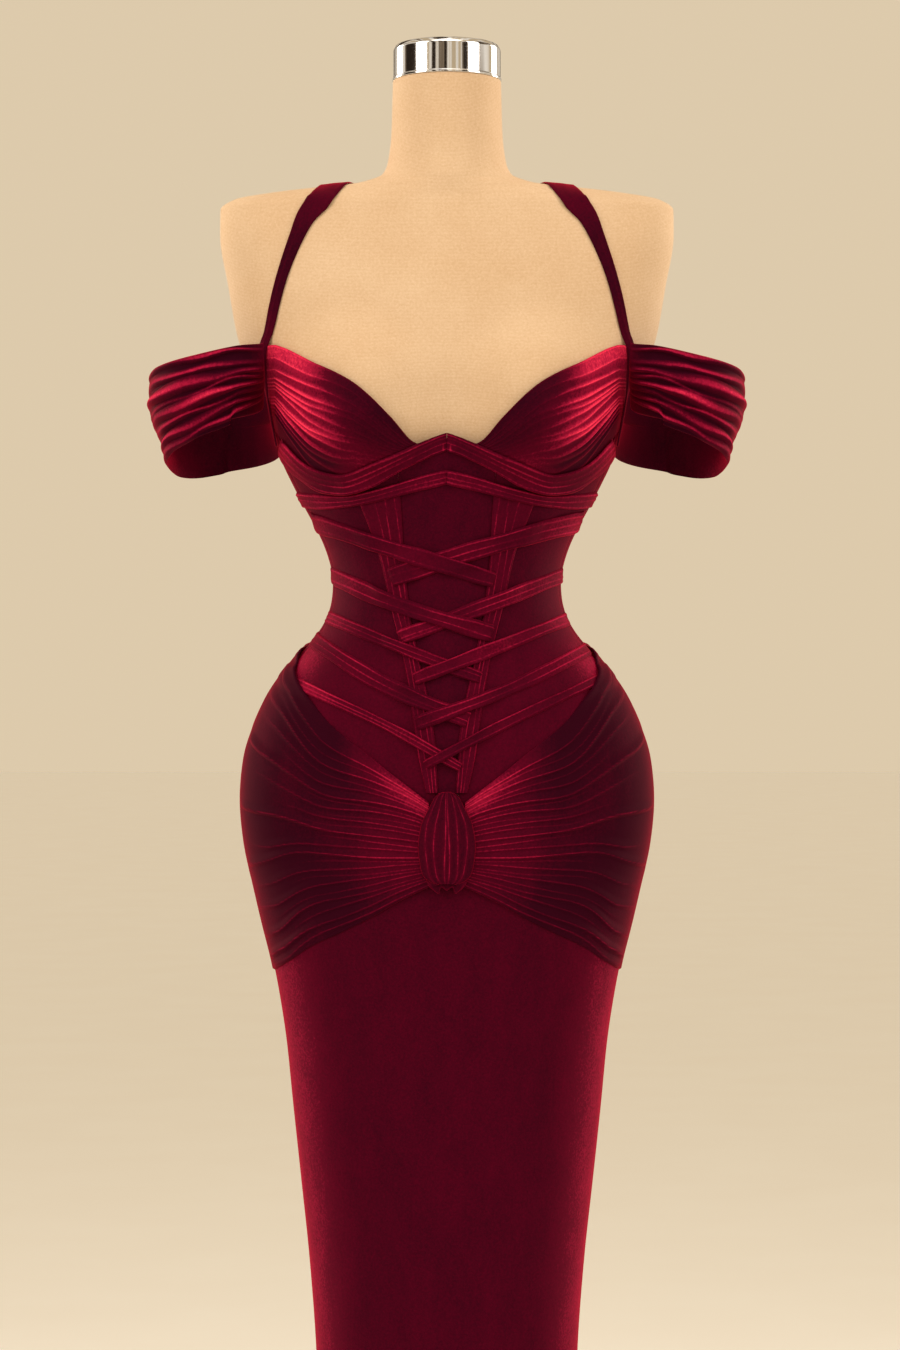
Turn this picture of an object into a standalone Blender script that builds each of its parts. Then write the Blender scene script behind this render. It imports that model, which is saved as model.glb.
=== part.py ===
"""A velvet evening dress with off-shoulder sleeve bands, on a limbless dress form with a stand.

Metres, +Z up, front towards -Y. The origin is on the floor under the centre of the stand.
Every cloth piece is a wall that is laid on the form's skin: its points are the skin's own points,
moved out by a lift. Left is the viewer's left, -X.
"""

import bisect
from math import asin, cos, pi, radians, sin, sqrt

import bmesh
import bpy
from mathutils import Vector
from mathutils.bvhtree import BVHTree

MM = 0.001

# Driving sizes of the cloth and what it rests on
FORM_GAP = 1.0 * MM
PANEL_WALL = 1.6 * MM
PANEL_TOP = FORM_GAP + PANEL_WALL
REST_GAP = 0.4 * MM
BAND_WALL = 1.3 * MM
BAND_RIDGE = 0.6 * MM
BAND_STEP = REST_GAP + BAND_WALL + BAND_RIDGE
CUP_FOLD = 1.5 * MM
SEAM = 0.3 * MM
CURVED_SEAM = 1.0 * MM
CLEAR = 0.25 * MM
NUDGE = 0.15 * MM
FORM_EASE = 4.5 * MM
STEP_EASE = 7 * MM
STEP_HOLD = 2 * MM

# Shares of the ring's half width: the side seam's, and how far a front piece may reach
SIDE_SEAM_REACH = 0.978
FRONT_REACH = 0.985
# Half a seam's gap as an angle: at the side seam, at the centre back and on the skirt
SIDE_SEAM_TURN = SEAM / 0.12
CENTRE_BACK_TURN = SEAM / 0.15
SKIRT_SEAM_TURN = SEAM / 0.2

# Heights
HEM_HEIGHT = 0.012
SKIRT_SEAM = 0.862
FORM_BOTTOM = 0.660
NECK_TOP = 1.547
CAP_TOP = 1.581
# The form is drawn in under the cloth, up to this height, and back out over the fade
DRAWN_IN_TO, DRAWN_IN_FADE = 1.235, 0.06

# The form's skin: height, half width, depth of front and of back (mm), and squareness of the ring
SKIN = [
    (12, 205, 187, 187, 2.0),
    (60, 184, 165, 165, 2.0),
    (150, 150, 130, 130, 2.0),
    (250, 124, 104, 104, 2.0),
    (330, 115.5, 95, 95, 2.0),
    (382, 117.3, 95, 95, 2.0),
    (464, 123.3, 96, 97, 2.0),
    (537, 131.1, 97, 99, 2.0),
    (611, 139, 98, 101, 2.0),
    (666, 144.5, 99, 103, 2.0),
    (703, 150, 100, 106, 2.0),
    (740, 157, 101, 110, 2.0),
    (776, 166, 102, 114, 2.0),
    (813, 173.5, 103, 118, 2.0),
    (850, 180, 103, 121, 2.0),
    (887, 182.4, 103, 122, 2.0),
    (924, 179.8, 101, 119, 2.0),
    (960, 169.5, 98, 112, 2.0),
    (979, 162, 96, 106, 2.0),
    (997, 151, 93, 100, 2.0),
    (1016, 136, 90, 93, 2.0),
    (1034, 120, 88, 87, 2.0),
    (1052, 108.5, 86, 83, 2.0),
    (1071, 103, 85, 80, 2.0),
    (1089, 102, 85, 79, 2.0),
    (1108, 105.8, 86, 80, 2.0),
    (1126, 112.3, 88, 83, 2.0),
    (1144, 121.5, 91, 86, 2.0),
    (1163, 132, 94, 89, 2.0),
    (1181, 141, 97, 91, 2.1),
    (1200, 150, 100, 93, 2.2),
    (1240, 159, 102, 95, 2.4),
    (1262, 162, 102, 96, 2.4),
    (1280, 174, 100, 97, 2.4),
    (1300, 189, 96, 97, 2.4),
    (1360, 201, 81, 92, 2.8),
    (1405, 208, 68, 80, 3.2),
    (1428, 208, 62, 72, 2.8),
    (1438, 197, 60, 70, 1.9),
    (1444.5, 165, 60, 68, 1.5),
    (1452, 88, 60, 66, 1.6),
    (1461, 60, 58, 62, 1.9),
    (1473, 54.3, 55, 58, 2.0),
    (1500, 51, 52, 54, 2.0),
    (1547, 49.7, 50, 52, 2.0),
]

# Bust: place and rise of each soft mound, and how far it reaches up, down and sideways
BUST_X, BUST_Z, BUST_RISE = 0.086, 1.238, 0.036
BUST_UP, BUST_DOWN, BUST_SIDE = 0.100, 0.080, 0.084

# Cup: distance from the centre line (mm), height of its top and bottom edges
CUP_INNER, CUP_OUTER = 0.021, 0.1525
CUP_EDGES = [
    (21, 1205.5, 1199.0),
    (30, 1209.0, 1195.0),
    (50, 1229.5, 1183.0),
    (78, 1256.0, 1174.0),
    (91, 1265.0, 1172.0),
    (117, 1279.0, 1180.0),
    (140, 1289.5, 1202.0),
    (152.5, 1294.0, 1222.0),
]
PEAK_HEIGHT = 1.2135
CUP_FOLDS = 8

# Vertical strips: height, distance of the inner and outer edge from the centre line (mm)
STRIP = [
    (1165, 41, 80),
    (1152, 40, 75),
    (1110, 37.5, 59.5),
    (1058, 32, 48),
    (1015, 24, 38),
    (970, 14.5, 31),
    (934, 9.5, 26),
    (897, 8, 18),
]
STRIP_RIDGES = 3

# Bands over the bodice, in the order that they are laid (mm): name, side that it starts from,
# then distance from the centre line (plus towards that side) and height of its start, middle
# and end, then its width
BANDS = [
    ("lacing_1_right", 1, 118, 1143, 46, 1120.5, -51, 1088.5, 17),
    ("lacing_1_left", -1, 118, 1142, 40, 1112.5, -42, 1086, 15),
    ("lacing_2_right", 1, 100.5, 1092.5, 44, 1067.5, -42, 1034, 14),
    ("lacing_2_left", -1, 100.5, 1093, 46, 1065.5, -41, 1037, 15),
    ("lacing_3_left", -1, 101.5, 1052.5, 46, 1027.5, -31, 998, 11),
    ("lacing_3_right", 1, 103, 1050.5, 44, 1025.5, -30, 996.5, 12),
    ("lacing_4_left", -1, 116, 1031.5, 52, 991, -20, 961, 15),
    ("lacing_4_right", 1, 122, 1022.5, 53, 988, -28, 957.5, 12),
    ("lacing_5_left", -1, 129, 992, 51, 955.5, -13, 919, 9),
    ("lacing_5_right", 1, 129, 995, 58, 961.5, -20, 921, 9),
]
UNDERBUST_BAND = [(0, 1178), (28, 1171.5), (66, 1162.5), (96, 1158), (118, 1160), (131, 1163)]
UNDERBUST_BAND_WIDTH = 12 * MM
WRAP = [(0, 1207), (31, 1196.5), (66, 1180), (92, 1171.5), (118, 1177.5), (143, 1197)]
WRAP_WIDTH = 12 * MM

# Hip drape: angle round the body (degrees from the front), height of its top and bottom edges
DRAPE_EDGES = [
    (5, 889, 814),
    (14, 910, 801),
    (24, 933, 785),
    (37, 957, 769),
    (49, 980, 758),
    (63, 999, 747),
    (88, 1027, 738),
    (120, 1034, 734),
    (150, 1024, 731),
    (179.8, 1016, 730),
]
DRAPE_SIDE = 88.0
# Ridges of the drape: place from its top edge (0) to its bottom edge (1), and height (mm)
DRAPE_FOLDS = [
    (0.03, 2.0),
    (0.11, 2.6),
    (0.17, 1.8),
    (0.24, 3.2),
    (0.32, 2.2),
    (0.39, 1.6),
    (0.47, 2.8),
    (0.56, 2.0),
    (0.64, 3.0),
    (0.71, 1.8),
    (0.79, 2.4),
    (0.88, 3.0),
    (0.96, 2.0),
]
BACK_DRAPE_FOLDS = [(0.06, 2.0), (0.26, 2.4), (0.48, 1.8), (0.70, 2.4), (0.92, 2.0)]
DRAPE_BUNCH = 1.2 * MM

# Knot loop: height and half width (mm)
KNOT = [(808, 11), (818, 18), (832, 23), (850, 25), (868, 22.5), (884, 15.5), (898, 8)]
KNOT_PLEATS = [-0.72, -0.42, 0.0, 0.4, 0.7]
KNOT_DOME = 7 * MM
KNOT_SEAT = 7.4 * MM

# Shoulder strap, front: height, distance from the centre line, width (mm)
STRAP_FRONT = [
    (1212, 157, 7),
    (1250, 161, 8),
    (1290, 163, 9),
    (1324, 157, 10.5),
    (1360, 148, 11),
    (1396, 135, 14),
    (1414, 127, 18),
    (1430, 115, 23),
]
# Over the shoulder: depth from the form's middle (mm, plus behind), then as above
STRAP_TOP = [(-28, 103, 28), (0, 100, 30), (30, 100, 28)]
STRAP_BACK = [(1430, 102, 22), (1390, 105, 16), (1340, 104, 13), (1290, 98, 12), (1262, 94, 12)]

# Heights of the bodice panels' rows, from the skirt seam to the side seam's top
PANEL_ROWS = [
    0.8623, 0.890, 0.915, 0.940, 0.960, 0.980, 0.997, 1.013, 1.029, 1.045, 1.061, 1.080,
    1.100, 1.120, 1.140, 1.158, 1.180, 1.201, 1.222,
]
ROWS_LEVEL_TO = 1.120

# Back of the bodice: height of its top edge at the side and at the centre back
BACK_TOP_SIDE, BACK_TOP_CENTRE = 1.258, 1.247

# Sleeve band round the missing arm: share of its way from the front end to the back end, distance
# from the centre line and depth (plus behind), heights of its top and bottom edges (mm)
SLEEVE = [
    (0.00, 160, -64, 1301, 1246),
    (0.14, 188, -76, 1297, 1230),
    (0.32, 230, -72, 1288, 1215),
    (0.46, 263, -40, 1280, 1202),
    (0.54, 270, -8, 1276, 1195),
    (0.64, 262, 32, 1279, 1186),
    (0.78, 232, 66, 1284, 1182),
    (0.90, 190, 78, 1288, 1186),
    (1.00, 160, 70, 1291, 1196),
]
SLEEVE_HUG = 0.14
SLEEVE_END_X = 0.158
# How far its ends stand off the skin: in front it lies over the strap
SLEEVE_FRONT_LIFT = 11.2 * MM
SLEEVE_BACK_LIFT = 5.4 * MM
SLEEVE_FOLDS = 6
SLEEVE_FOLD = 5.5 * MM
SLEEVE_WALL = 1.8 * MM

# Stand
BASE_RADIUS, BASE_HEIGHT = 0.150, 0.010
POLE_RADIUS = 0.0125
COLLAR_RADIUS, COLLAR_TOP = 0.026, 0.045
FLANGE_RADIUS, FLANGE_HEIGHT = 0.045, 0.006

# Colours, roughness and metallic value
VELVET = ("velvet", (0.19, 0.008, 0.022), 0.75, 0.0)
VELVET_BRIGHT = ("velvet_bright", (0.45, 0.01, 0.035), 0.7, 0.0)
LINEN = ("linen", (0.72, 0.53, 0.32), 0.85, 0.0)
CHROME = ("chrome", (0.8, 0.8, 0.8), 0.12, 1.0)
STEEL = ("painted_steel", (0.04, 0.04, 0.04), 0.45, 0.3)


def through(rows, column, place):
    """The value of a column at a place, on a smooth curve through the rows' values."""
    places = [row[0] for row in rows]
    if place <= places[0]:
        return rows[0][column]
    if place >= places[-1]:
        return rows[-1][column]
    i = bisect.bisect_right(places, place) - 1
    x0, x1 = places[i], places[i + 1]
    y0, y1 = rows[i][column], rows[i + 1][column]
    slope = (y1 - y0) / (x1 - x0)
    before = slope if i == 0 else (y0 - rows[i - 1][column]) / (x0 - places[i - 1])
    after = slope if i + 2 == len(rows) else (rows[i + 2][column] - y1) / (places[i + 2] - x1)
    m0 = 0 if before * slope <= 0 else 2 * before * slope / (before + slope)
    m1 = 0 if after * slope <= 0 else 2 * after * slope / (after + slope)
    t = (place - x0) / (x1 - x0)
    h = x1 - x0
    return (
        y0 * (1 + 2 * t) * (1 - t) ** 2
        + m0 * h * t * (1 - t) ** 2
        + y1 * t * t * (3 - 2 * t)
        + m1 * h * t * t * (t - 1)
    )


def ease(value):
    """0 below 0, 1 above 1, and a smooth step between."""
    t = min(1.0, max(0.0, value))
    return t * t * (3 - 2 * t)


def ring(height):
    """Half width, front depth, back depth and squareness of the skin at a height."""
    place = height / MM
    width, front, back = (through(SKIN, column, place) * MM for column in (1, 2, 3))
    return width, front, back, through(SKIN, 4, place)


def bust(x, z):
    """How far the bust stands forward of the ring."""
    side = (abs(x) - BUST_X) / BUST_SIDE
    rise = (z - BUST_Z) / (BUST_UP if z > BUST_Z else BUST_DOWN)
    reach = side * side + rise * rise
    return BUST_RISE * (1 - reach) ** 2 if reach < 1 else 0.0


def outside(x, y, z):
    """Below 1 inside the form's skin, 1 on it and more outside."""
    width, front, back, square = ring(z)
    y += bust(x, z) * ease(0.5 - y / (20 * MM))
    depth = front if y < 0 else back
    return ((abs(x) / width) ** square + (abs(y) / depth) ** square) ** (1 / square)


def lifted(point, lift):
    """A point of the skin, moved straight out of it."""
    step = 0.2 * MM
    slope = [0.0, 0.0, 0.0]
    for axis in range(3):
        more, less = list(point), list(point)
        more[axis] += step
        less[axis] -= step
        slope[axis] = outside(*more) - outside(*less)
    return Vector(point) + Vector(slope).normalized() * lift


def at_angle(angle, z):
    """The skin's point at an angle round the body, 0 in front and plus towards +X."""
    width, front, back, square = ring(z)
    s, c = sin(angle), cos(angle)
    x = width * abs(s) ** (2 / square) * (1 if s > 0 else -1)
    if c > 0:
        y = -front * c ** (2 / square)
        y -= bust(x, z) * ease(-y / (20 * MM))
    else:
        y = back * abs(c) ** (2 / square)
    return Vector((x, y, z))


def angle_of(x, z):
    """The angle on the front at a distance from the centre line."""
    width, _, _, square = ring(z)
    share = min(1.0, abs(x) / width) ** (square / 2)
    return asin(share) * (1 if x > 0 else -1)


def on_front(x, z):
    width = ring(z)[0]
    reach = FRONT_REACH * width
    x = max(-reach, min(reach, x))
    return at_angle(angle_of(x, z), z)


def seam_angle(z):
    """Where the side seam runs: near the side, and behind the cup's outer edge above the waist."""
    width = ring(z)[0]
    return angle_of(min(SIDE_SEAM_REACH * width, CUP_OUTER), z)


def cup_edge(x, column):
    return through(CUP_EDGES, column, abs(x) / MM) * MM


def bodice_top(x):
    """Height of the bodice panels' top edge, at the bottom of the cups."""
    if abs(x) < CUP_INNER:
        share = ease(abs(x) / CUP_INNER)
        return PEAK_HEIGHT + (cup_edge(CUP_INNER, 2) - PEAK_HEIGHT) * share
    return cup_edge(x, 2)


def strip_edge(z, column):
    return through(sorted(STRIP), column, z / MM) * MM


class Band:
    """A strip of cloth on the front: a smooth route, and how far a place lies from it."""

    STEPS = 24

    def __init__(self, route, width):
        self.width = width
        rows = [(i, x * MM, z * MM) for i, (x, z) in enumerate(route)]
        last = len(rows) - 1
        self.points = [
            Vector((through(rows, 1, i * last / self.STEPS), through(rows, 2, i * last / self.STEPS)))
            for i in range(self.STEPS + 1)
        ]

    def at(self, along):
        """The route's point and its direction across, pointing up."""
        place = along * self.STEPS
        i = min(self.STEPS - 1, int(place))
        here = self.points[i].lerp(self.points[i + 1], place - i)
        low, high = max(0, i - 1), min(self.STEPS, i + 2)
        run = (self.points[high] - self.points[low]).normalized()
        across = Vector((-run.y, run.x))
        return here, across if across.y > 0 else -across

    def away(self, x, z):
        """Distance of a place on the front from the band's edge."""
        spot = Vector((x, z))
        nearest = 1.0
        for a, b in zip(self.points, self.points[1:]):
            run = b - a
            share = max(0.0, min(1.0, (spot - a).dot(run) / run.length_squared))
            nearest = min(nearest, (spot - a - run * share).length)
        return nearest - self.width / 2


def strip_away(x, z):
    """Distance of a place on the front from the vertical strips."""
    inner, outer = strip_edge(z, 1), strip_edge(z, 2)
    sideways = max(inner - abs(x), abs(x) - outer)
    upright = max(STRIP[-1][0] * MM - z, z - STRIP[0][0] * MM)
    return max(sideways, upright)


def cup_away(x, z):
    return max(bodice_top(x) - z, CUP_INNER - abs(x))


# What lies on the panels so far: how far a place is from it, and how much it adds
laid = [(strip_away, BAND_STEP), (cup_away, CUP_FOLD)]


def cover(x, z):
    """The lift of the top of all that is laid at a place on the front so far."""
    lift = PANEL_TOP
    for away, step in laid:
        lift += step * (1 - ease((away(x, z) - STEP_HOLD) / STEP_EASE))
    return lift


def spread(count, start=0.0, end=1.0):
    return [start + (end - start) * i / count for i in range(count + 1)]


def mix(a, b, share):
    return a + (b - a) * share


# The pieces made so far, for laying the next ones on them
made = {}


def material(finish):
    name, colour, roughness, metallic = finish
    made = bpy.data.materials.get(name)
    if made is None:
        made = bpy.data.materials.new(name)
        made.use_nodes = True
        shader = made.node_tree.nodes["Principled BSDF"]
        shader.inputs["Base Color"].default_value = (*colour, 1)
        shader.inputs["Roughness"].default_value = roughness
        shader.inputs["Metallic"].default_value = metallic
        made.diffuse_color = (*colour, 1)
    return made


def finished(name, bm, finish):
    """A node's object from its bmesh, with smooth faces that point out."""
    bmesh.ops.recalc_face_normals(bm, faces=bm.faces[:])
    if bm.calc_volume(signed=True) < 0:
        bmesh.ops.reverse_faces(bm, faces=bm.faces[:])
    mesh = bpy.data.meshes.new(name)
    bm.to_mesh(mesh)
    bm.free()
    mesh.shade_smooth()
    mesh.set_sharp_from_angle(angle=radians(50))
    mesh.materials.append(material(finish))
    piece = bpy.data.objects.new(name, mesh)
    bpy.data.collections["evening_dress"].objects.link(piece)
    return piece


def tree_of(bm):
    bm.normal_update()
    return BVHTree.FromBMesh(bm)


def cloth(name, columns, rows, point, finish, beside=None):
    """A wall of cloth: a grid, grown to a closed wall, with its points laid by point(u, v, side).

    Where a wall's flat faces still meet a piece that was laid before, its points are moved out in
    small steps until it lies clear. beside names the pieces that it only meets at seams, or is
    empty for a panel that lies on the form alone.
    """
    bm = bmesh.new()
    bmesh.ops.create_grid(bm, x_segments=len(columns) - 1, y_segments=len(rows) - 1, size=0.5)
    inner = bm.verts[:]
    grown = bmesh.ops.extrude_face_region(bm, geom=bm.faces[:])["geom"]
    outer = [v for v in grown if isinstance(v, bmesh.types.BMVert)]
    spots = {}
    for verts, side in ((inner, 0), (outer, 1)):
        for vert in verts:
            i = round((vert.co.x + 0.5) * (len(columns) - 1))
            j = round((vert.co.y + 0.5) * (len(rows) - 1))
            spots.setdefault((i, j), []).append(vert)
            vert.co = point(columns[i], rows[j], side)
    if beside != ():
        under = [tree for other, tree in made.items() if other not in (beside or [])]
        places = {vert: key for key, pair in spots.items() for vert in pair}
        for _ in range(80):
            out = {key: (b.co - a.co).normalized() for key, (a, b) in spots.items()}
            for key, (a, b) in spots.items():
                a.co -= out[key] * CLEAR
            tree = tree_of(bm)
            bm.faces.ensure_lookup_table()
            met = {pair[0] for other in under for pair in tree.overlap(other)}
            for key, (a, b) in spots.items():
                a.co += out[key] * CLEAR
            if not met:
                break
            for key in {places[vert] for i in met for vert in bm.faces[i].verts}:
                for vert in spots[key]:
                    vert.co += out[key] * NUDGE
    made[name] = tree_of(bm)
    return finished(name, bm, finish)


def turned(name, profile, finish, segments=32, centre_y=0.0):
    """A turned solid: its profile, radius and height from top to bottom, spun round the Z axis."""
    bm = bmesh.new()
    verts = [bm.verts.new((radius, 0, z)) for radius, z in profile]
    for a, b in zip(verts, verts[1:]):
        bm.edges.new((a, b))
    bmesh.ops.spin(
        bm, geom=bm.verts[:] + bm.edges[:], axis=(0, 0, 1), cent=(0, 0, 0),
        angle=2 * pi, steps=segments, use_merge=True,
    )
    bmesh.ops.remove_doubles(bm, verts=bm.verts[:], dist=0.01 * MM)
    bmesh.ops.translate(bm, verts=bm.verts[:], vec=(0, centre_y, 0))
    return finished(name, bm, finish)


def make_form():
    """The torso: a cylinder cage whose rings are laid on the skin, with a flat bottom and top."""
    heights = [
        FORM_BOTTOM, 0.725, 0.780, 0.830, 0.880, 0.925, 0.960, 0.990, 1.015, 1.040, 1.070, 1.105,
        1.140, 1.165, 1.190, 1.215, 1.240, 1.260, 1.280, 1.300, 1.340, 1.380, 1.410, 1.428, 1.438,
        1.4445, 1.452, 1.461, 1.473, 1.505, NECK_TOP,
    ]
    segments = 30
    bm = bmesh.new()
    bmesh.ops.create_cone(bm, cap_ends=True, segments=segments, radius1=1, radius2=1, depth=1)
    upright = [e for e in bm.edges if abs(e.verts[0].co.z - e.verts[1].co.z) > 0.5]
    bmesh.ops.subdivide_edges(bm, edges=upright, cuts=len(heights) - 2, use_grid_fill=True)
    for vert in bm.verts:
        z = heights[round((vert.co.z + 0.5) * (len(heights) - 1))]
        angle = Vector((-vert.co.y, vert.co.x)).angle_signed(Vector((1, 0)))
        under_cloth = 1 - ease((z - DRAWN_IN_TO) / DRAWN_IN_FADE)
        vert.co = lifted(at_angle(angle, z), -FORM_EASE * under_cloth)
        vert.co.z = z
    made["form_torso"] = tree_of(bm)
    return finished("form_torso", bm, LINEN)


def make_stand():
    flange_top = FORM_BOTTOM - SEAM
    turned(
        "form_neck_cap",
        [
            (0, CAP_TOP), (0.040, CAP_TOP), (0.0475, CAP_TOP - 1.5 * MM),
            (0.0495, CAP_TOP - 5 * MM), (0.0495, NECK_TOP + 3 * MM),
            (0.0488, NECK_TOP + SEAM), (0, NECK_TOP + SEAM),
        ],
        CHROME, segments=24, centre_y=1 * MM,
    )
    turned(
        "stand_pole",
        [
            (0, flange_top), (FLANGE_RADIUS, flange_top),
            (FLANGE_RADIUS, flange_top - FLANGE_HEIGHT), (POLE_RADIUS, flange_top - FLANGE_HEIGHT),
            (POLE_RADIUS, COLLAR_TOP), (COLLAR_RADIUS, COLLAR_TOP - 6 * MM),
            (COLLAR_RADIUS, BASE_HEIGHT + SEAM), (0, BASE_HEIGHT + SEAM),
        ],
        STEEL, segments=24,
    )
    turned(
        "stand_base",
        [
            (0, BASE_HEIGHT), (BASE_RADIUS - 4 * MM, BASE_HEIGHT),
            (BASE_RADIUS, BASE_HEIGHT - 4 * MM), (BASE_RADIUS, 0), (0, 0),
        ],
        STEEL, segments=32,
    )


def panel_lift(side):
    return PANEL_TOP if side else FORM_GAP


def panel_height(row, top):
    """Height of a panel's row: level at the waist, and spread up to the panel's own top edge."""
    share = max(0.0, row - ROWS_LEVEL_TO) / (PANEL_ROWS[-1] - ROWS_LEVEL_TO)
    return min(row, ROWS_LEVEL_TO) + share * (top - ROWS_LEVEL_TO)


def strip_seam(z):
    """Distance of the seam under the vertical strip from the centre line."""
    return strip_edge(z, 1) + 2 * MM


def make_bodice():
    """Centre front between the strips, side fronts to the side seams, and backs."""

    def centre_front(u, v, side):
        z = panel_height(v, bodice_top(u * strip_seam(v)) - CURVED_SEAM)
        return lifted(on_front(u * (strip_seam(v) - SEAM / 2), z), panel_lift(side))

    cloth("corset_centre_front", spread(4, -1, 1), PANEL_ROWS, centre_front, VELVET, ())

    def side_front(sign):
        def point(u, v, side):
            inner = strip_seam(v) + SEAM / 2
            z = panel_height(v, bodice_top(mix(inner, CUP_OUTER, u)) - CURVED_SEAM * (1 - u))
            angle = mix(angle_of(inner, z), seam_angle(z) - SIDE_SEAM_TURN, u)
            return lifted(at_angle(sign * angle, z), panel_lift(side))

        return point

    def back(sign):
        def point(u, v, side):
            side_top = mix(BACK_TOP_SIDE, BACK_TOP_CENTRE, ease(u * 1.5))
            z = v if v <= PANEL_ROWS[-1] else side_top
            angle = mix(seam_angle(z) + SIDE_SEAM_TURN, pi - CENTRE_BACK_TURN, u)
            return lifted(at_angle(sign * angle, z), panel_lift(side))

        return point

    for word, sign in (("left", -1), ("right", 1)):
        cloth(f"corset_side_front_{word}", spread(5), PANEL_ROWS, side_front(sign), VELVET, ())
        rows = PANEL_ROWS + [BACK_TOP_SIDE]
        cloth(f"corset_back_{word}", spread(6), rows, back(sign), VELVET, ())


def make_cups():
    corset = [name for name in made if name.startswith("corset")]
    rows = spread(CUP_FOLDS * 2)

    def cup(sign):
        def point(u, v, side):
            x = mix(CUP_INNER, CUP_OUTER - 2 * SEAM, u)
            bottom, top = cup_edge(x, 2) + 1.5 * CURVED_SEAM, cup_edge(x, 1)
            z = mix(bottom, top, v)
            fold = 0.5 - 0.5 * cos(2 * pi * CUP_FOLDS * v)
            pull = mix(0.35, 1.0, abs(2 * u - 1) ** 1.5)
            fade = ease(min(v, 1 - v) * 10)
            lift = PANEL_TOP + CUP_FOLD * fold * pull * fade if side else FORM_GAP
            return lifted(at_angle(sign * angle_of(x, z), z), lift)

        return point

    for word, sign in (("left", -1), ("right", 1)):
        cloth(f"cup_{word}", spread(6), rows, cup(sign), VELVET_BRIGHT, corset)


def make_strips():
    rows = spread(12)
    columns = spread(2 * STRIP_RIDGES)

    def strip(sign):
        def point(u, v, side):
            z = mix(STRIP[-1][0], STRIP[0][0], v) * MM
            x = sign * mix(strip_edge(z, 1), strip_edge(z, 2), u)
            ridge = BAND_RIDGE * sin(pi * STRIP_RIDGES * u) ** 2
            lift = PANEL_TOP + REST_GAP + (BAND_WALL + ridge if side else 0)
            return lifted(on_front(x, z), lift)

        return point

    for word, sign in (("left", -1), ("right", 1)):
        cloth(f"strip_{word}", columns, rows, strip(sign), VELVET)


def lay_band(name, band, steps, finish=VELVET):
    """One band on what is already laid, which then counts as laid too."""

    def point(u, v, side):
        here, across = band.at(u)
        spot = here + across * (v - 0.5) * band.width
        ridge = BAND_RIDGE * sin(pi * v)
        lift = cover(spot.x, spot.y) + REST_GAP + (BAND_WALL + ridge if side else 0)
        return lifted(on_front(spot.x, spot.y), lift)

    piece = cloth(name, spread(steps), spread(2), point, finish)
    laid.append((band.away, BAND_STEP))
    return piece


def half_route(route, sign):
    """A route for one half, from beside the centre line outwards."""
    middle = SEAM / MM
    return [(sign * max(middle, x), z) for x, z in route]


def make_bands():
    for word, sign in (("left", -1), ("right", 1)):
        band = Band(half_route(UNDERBUST_BAND, sign), UNDERBUST_BAND_WIDTH)
        lay_band(f"underbust_band_{word}", band, 12)
    for name, sign, x0, z0, x1, z1, x2, z2, width in BANDS:
        route = [(sign * x0, z0), (sign * x1, z1), (sign * x2, z2)]
        lay_band(name, Band(route, width * MM), 13)
    for word, sign in (("left", -1), ("right", 1)):
        lay_band(f"underbust_wrap_{word}", Band(half_route(WRAP, sign), WRAP_WIDTH), 12)


def fold_rows(folds):
    """Rows of a pleated wall: each ridge, and the valley between neighbours."""
    rows = [0.0]
    for (place, _), (after, _) in zip(folds, folds[1:]):
        rows += [place, (place + after) / 2]
    return rows + [folds[-1][0], 1.0]


def fold_height(folds, place):
    """Height of the ridges at a place across a pleated wall."""
    height = 0.0
    for i, (ridge, rise) in enumerate(folds):
        before = folds[i - 1][0] if i else -folds[0][0]
        after = folds[i + 1][0] if i + 1 < len(folds) else 2 - ridge
        half = (ridge - before) / 2 if place < ridge else (after - ridge) / 2
        if abs(place - ridge) < half:
            height = rise * MM * cos(pi / 2 * abs(place - ridge) / half)
    return height


def drape_point(sign, folds, start, end):
    def point(u, v, side):
        degrees = mix(start, end, u)
        z = mix(through(DRAPE_EDGES, 1, degrees), through(DRAPE_EDGES, 2, degrees), v) * MM
        base = at_angle(sign * radians(degrees), z)
        lift = PANEL_TOP + REST_GAP
        if degrees < 90:
            lift = cover(base.x, z) + REST_GAP
        bunch = DRAPE_BUNCH * (1 - ease((degrees - 5) / 25))
        lift += bunch
        if side:
            pull = mix(0.55, 1.0, ease((degrees - 5) / 20))
            lift += BAND_WALL + fold_height(folds, v) * pull
        return lifted(base, lift)

    return point


def make_drapes():
    for word, sign in (("left", -1), ("right", 1)):
        front = drape_point(sign, DRAPE_FOLDS, DRAPE_EDGES[0][0], DRAPE_SIDE - 0.1)
        cloth(f"hip_drape_{word}", spread(8), fold_rows(DRAPE_FOLDS), front, VELVET)
        back = drape_point(sign, BACK_DRAPE_FOLDS, DRAPE_SIDE + 0.1, 179.9)
        beside = [f"hip_drape_{word}", "hip_drape_back_left"]
        cloth(f"hip_drape_back_{word}", spread(6), fold_rows(BACK_DRAPE_FOLDS), back, VELVET, beside)


def make_knot():
    columns = sorted(set(spread(2, -1, 1) + KNOT_PLEATS + [-0.9, -0.57, -0.2, 0.2, 0.55, 0.88]))

    def point(u, v, side):
        z = mix(KNOT[0][0], KNOT[-1][0], v) * MM
        x = u * through(KNOT, 1, z / MM) * MM
        lift = KNOT_SEAT + KNOT_DOME * sqrt(max(0.0, 1 - u * u)) * sin(pi * mix(0.12, 0.88, v))
        if side:
            pleat = max(cos(pi / 2 * min(1, abs(u - place) / 0.14)) for place in KNOT_PLEATS)
            lift += 1.8 * MM + 1.2 * MM * pleat
        return lifted(on_front(x, z), lift)

    cloth("knot_loop", columns, spread(8), point, VELVET)


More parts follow.
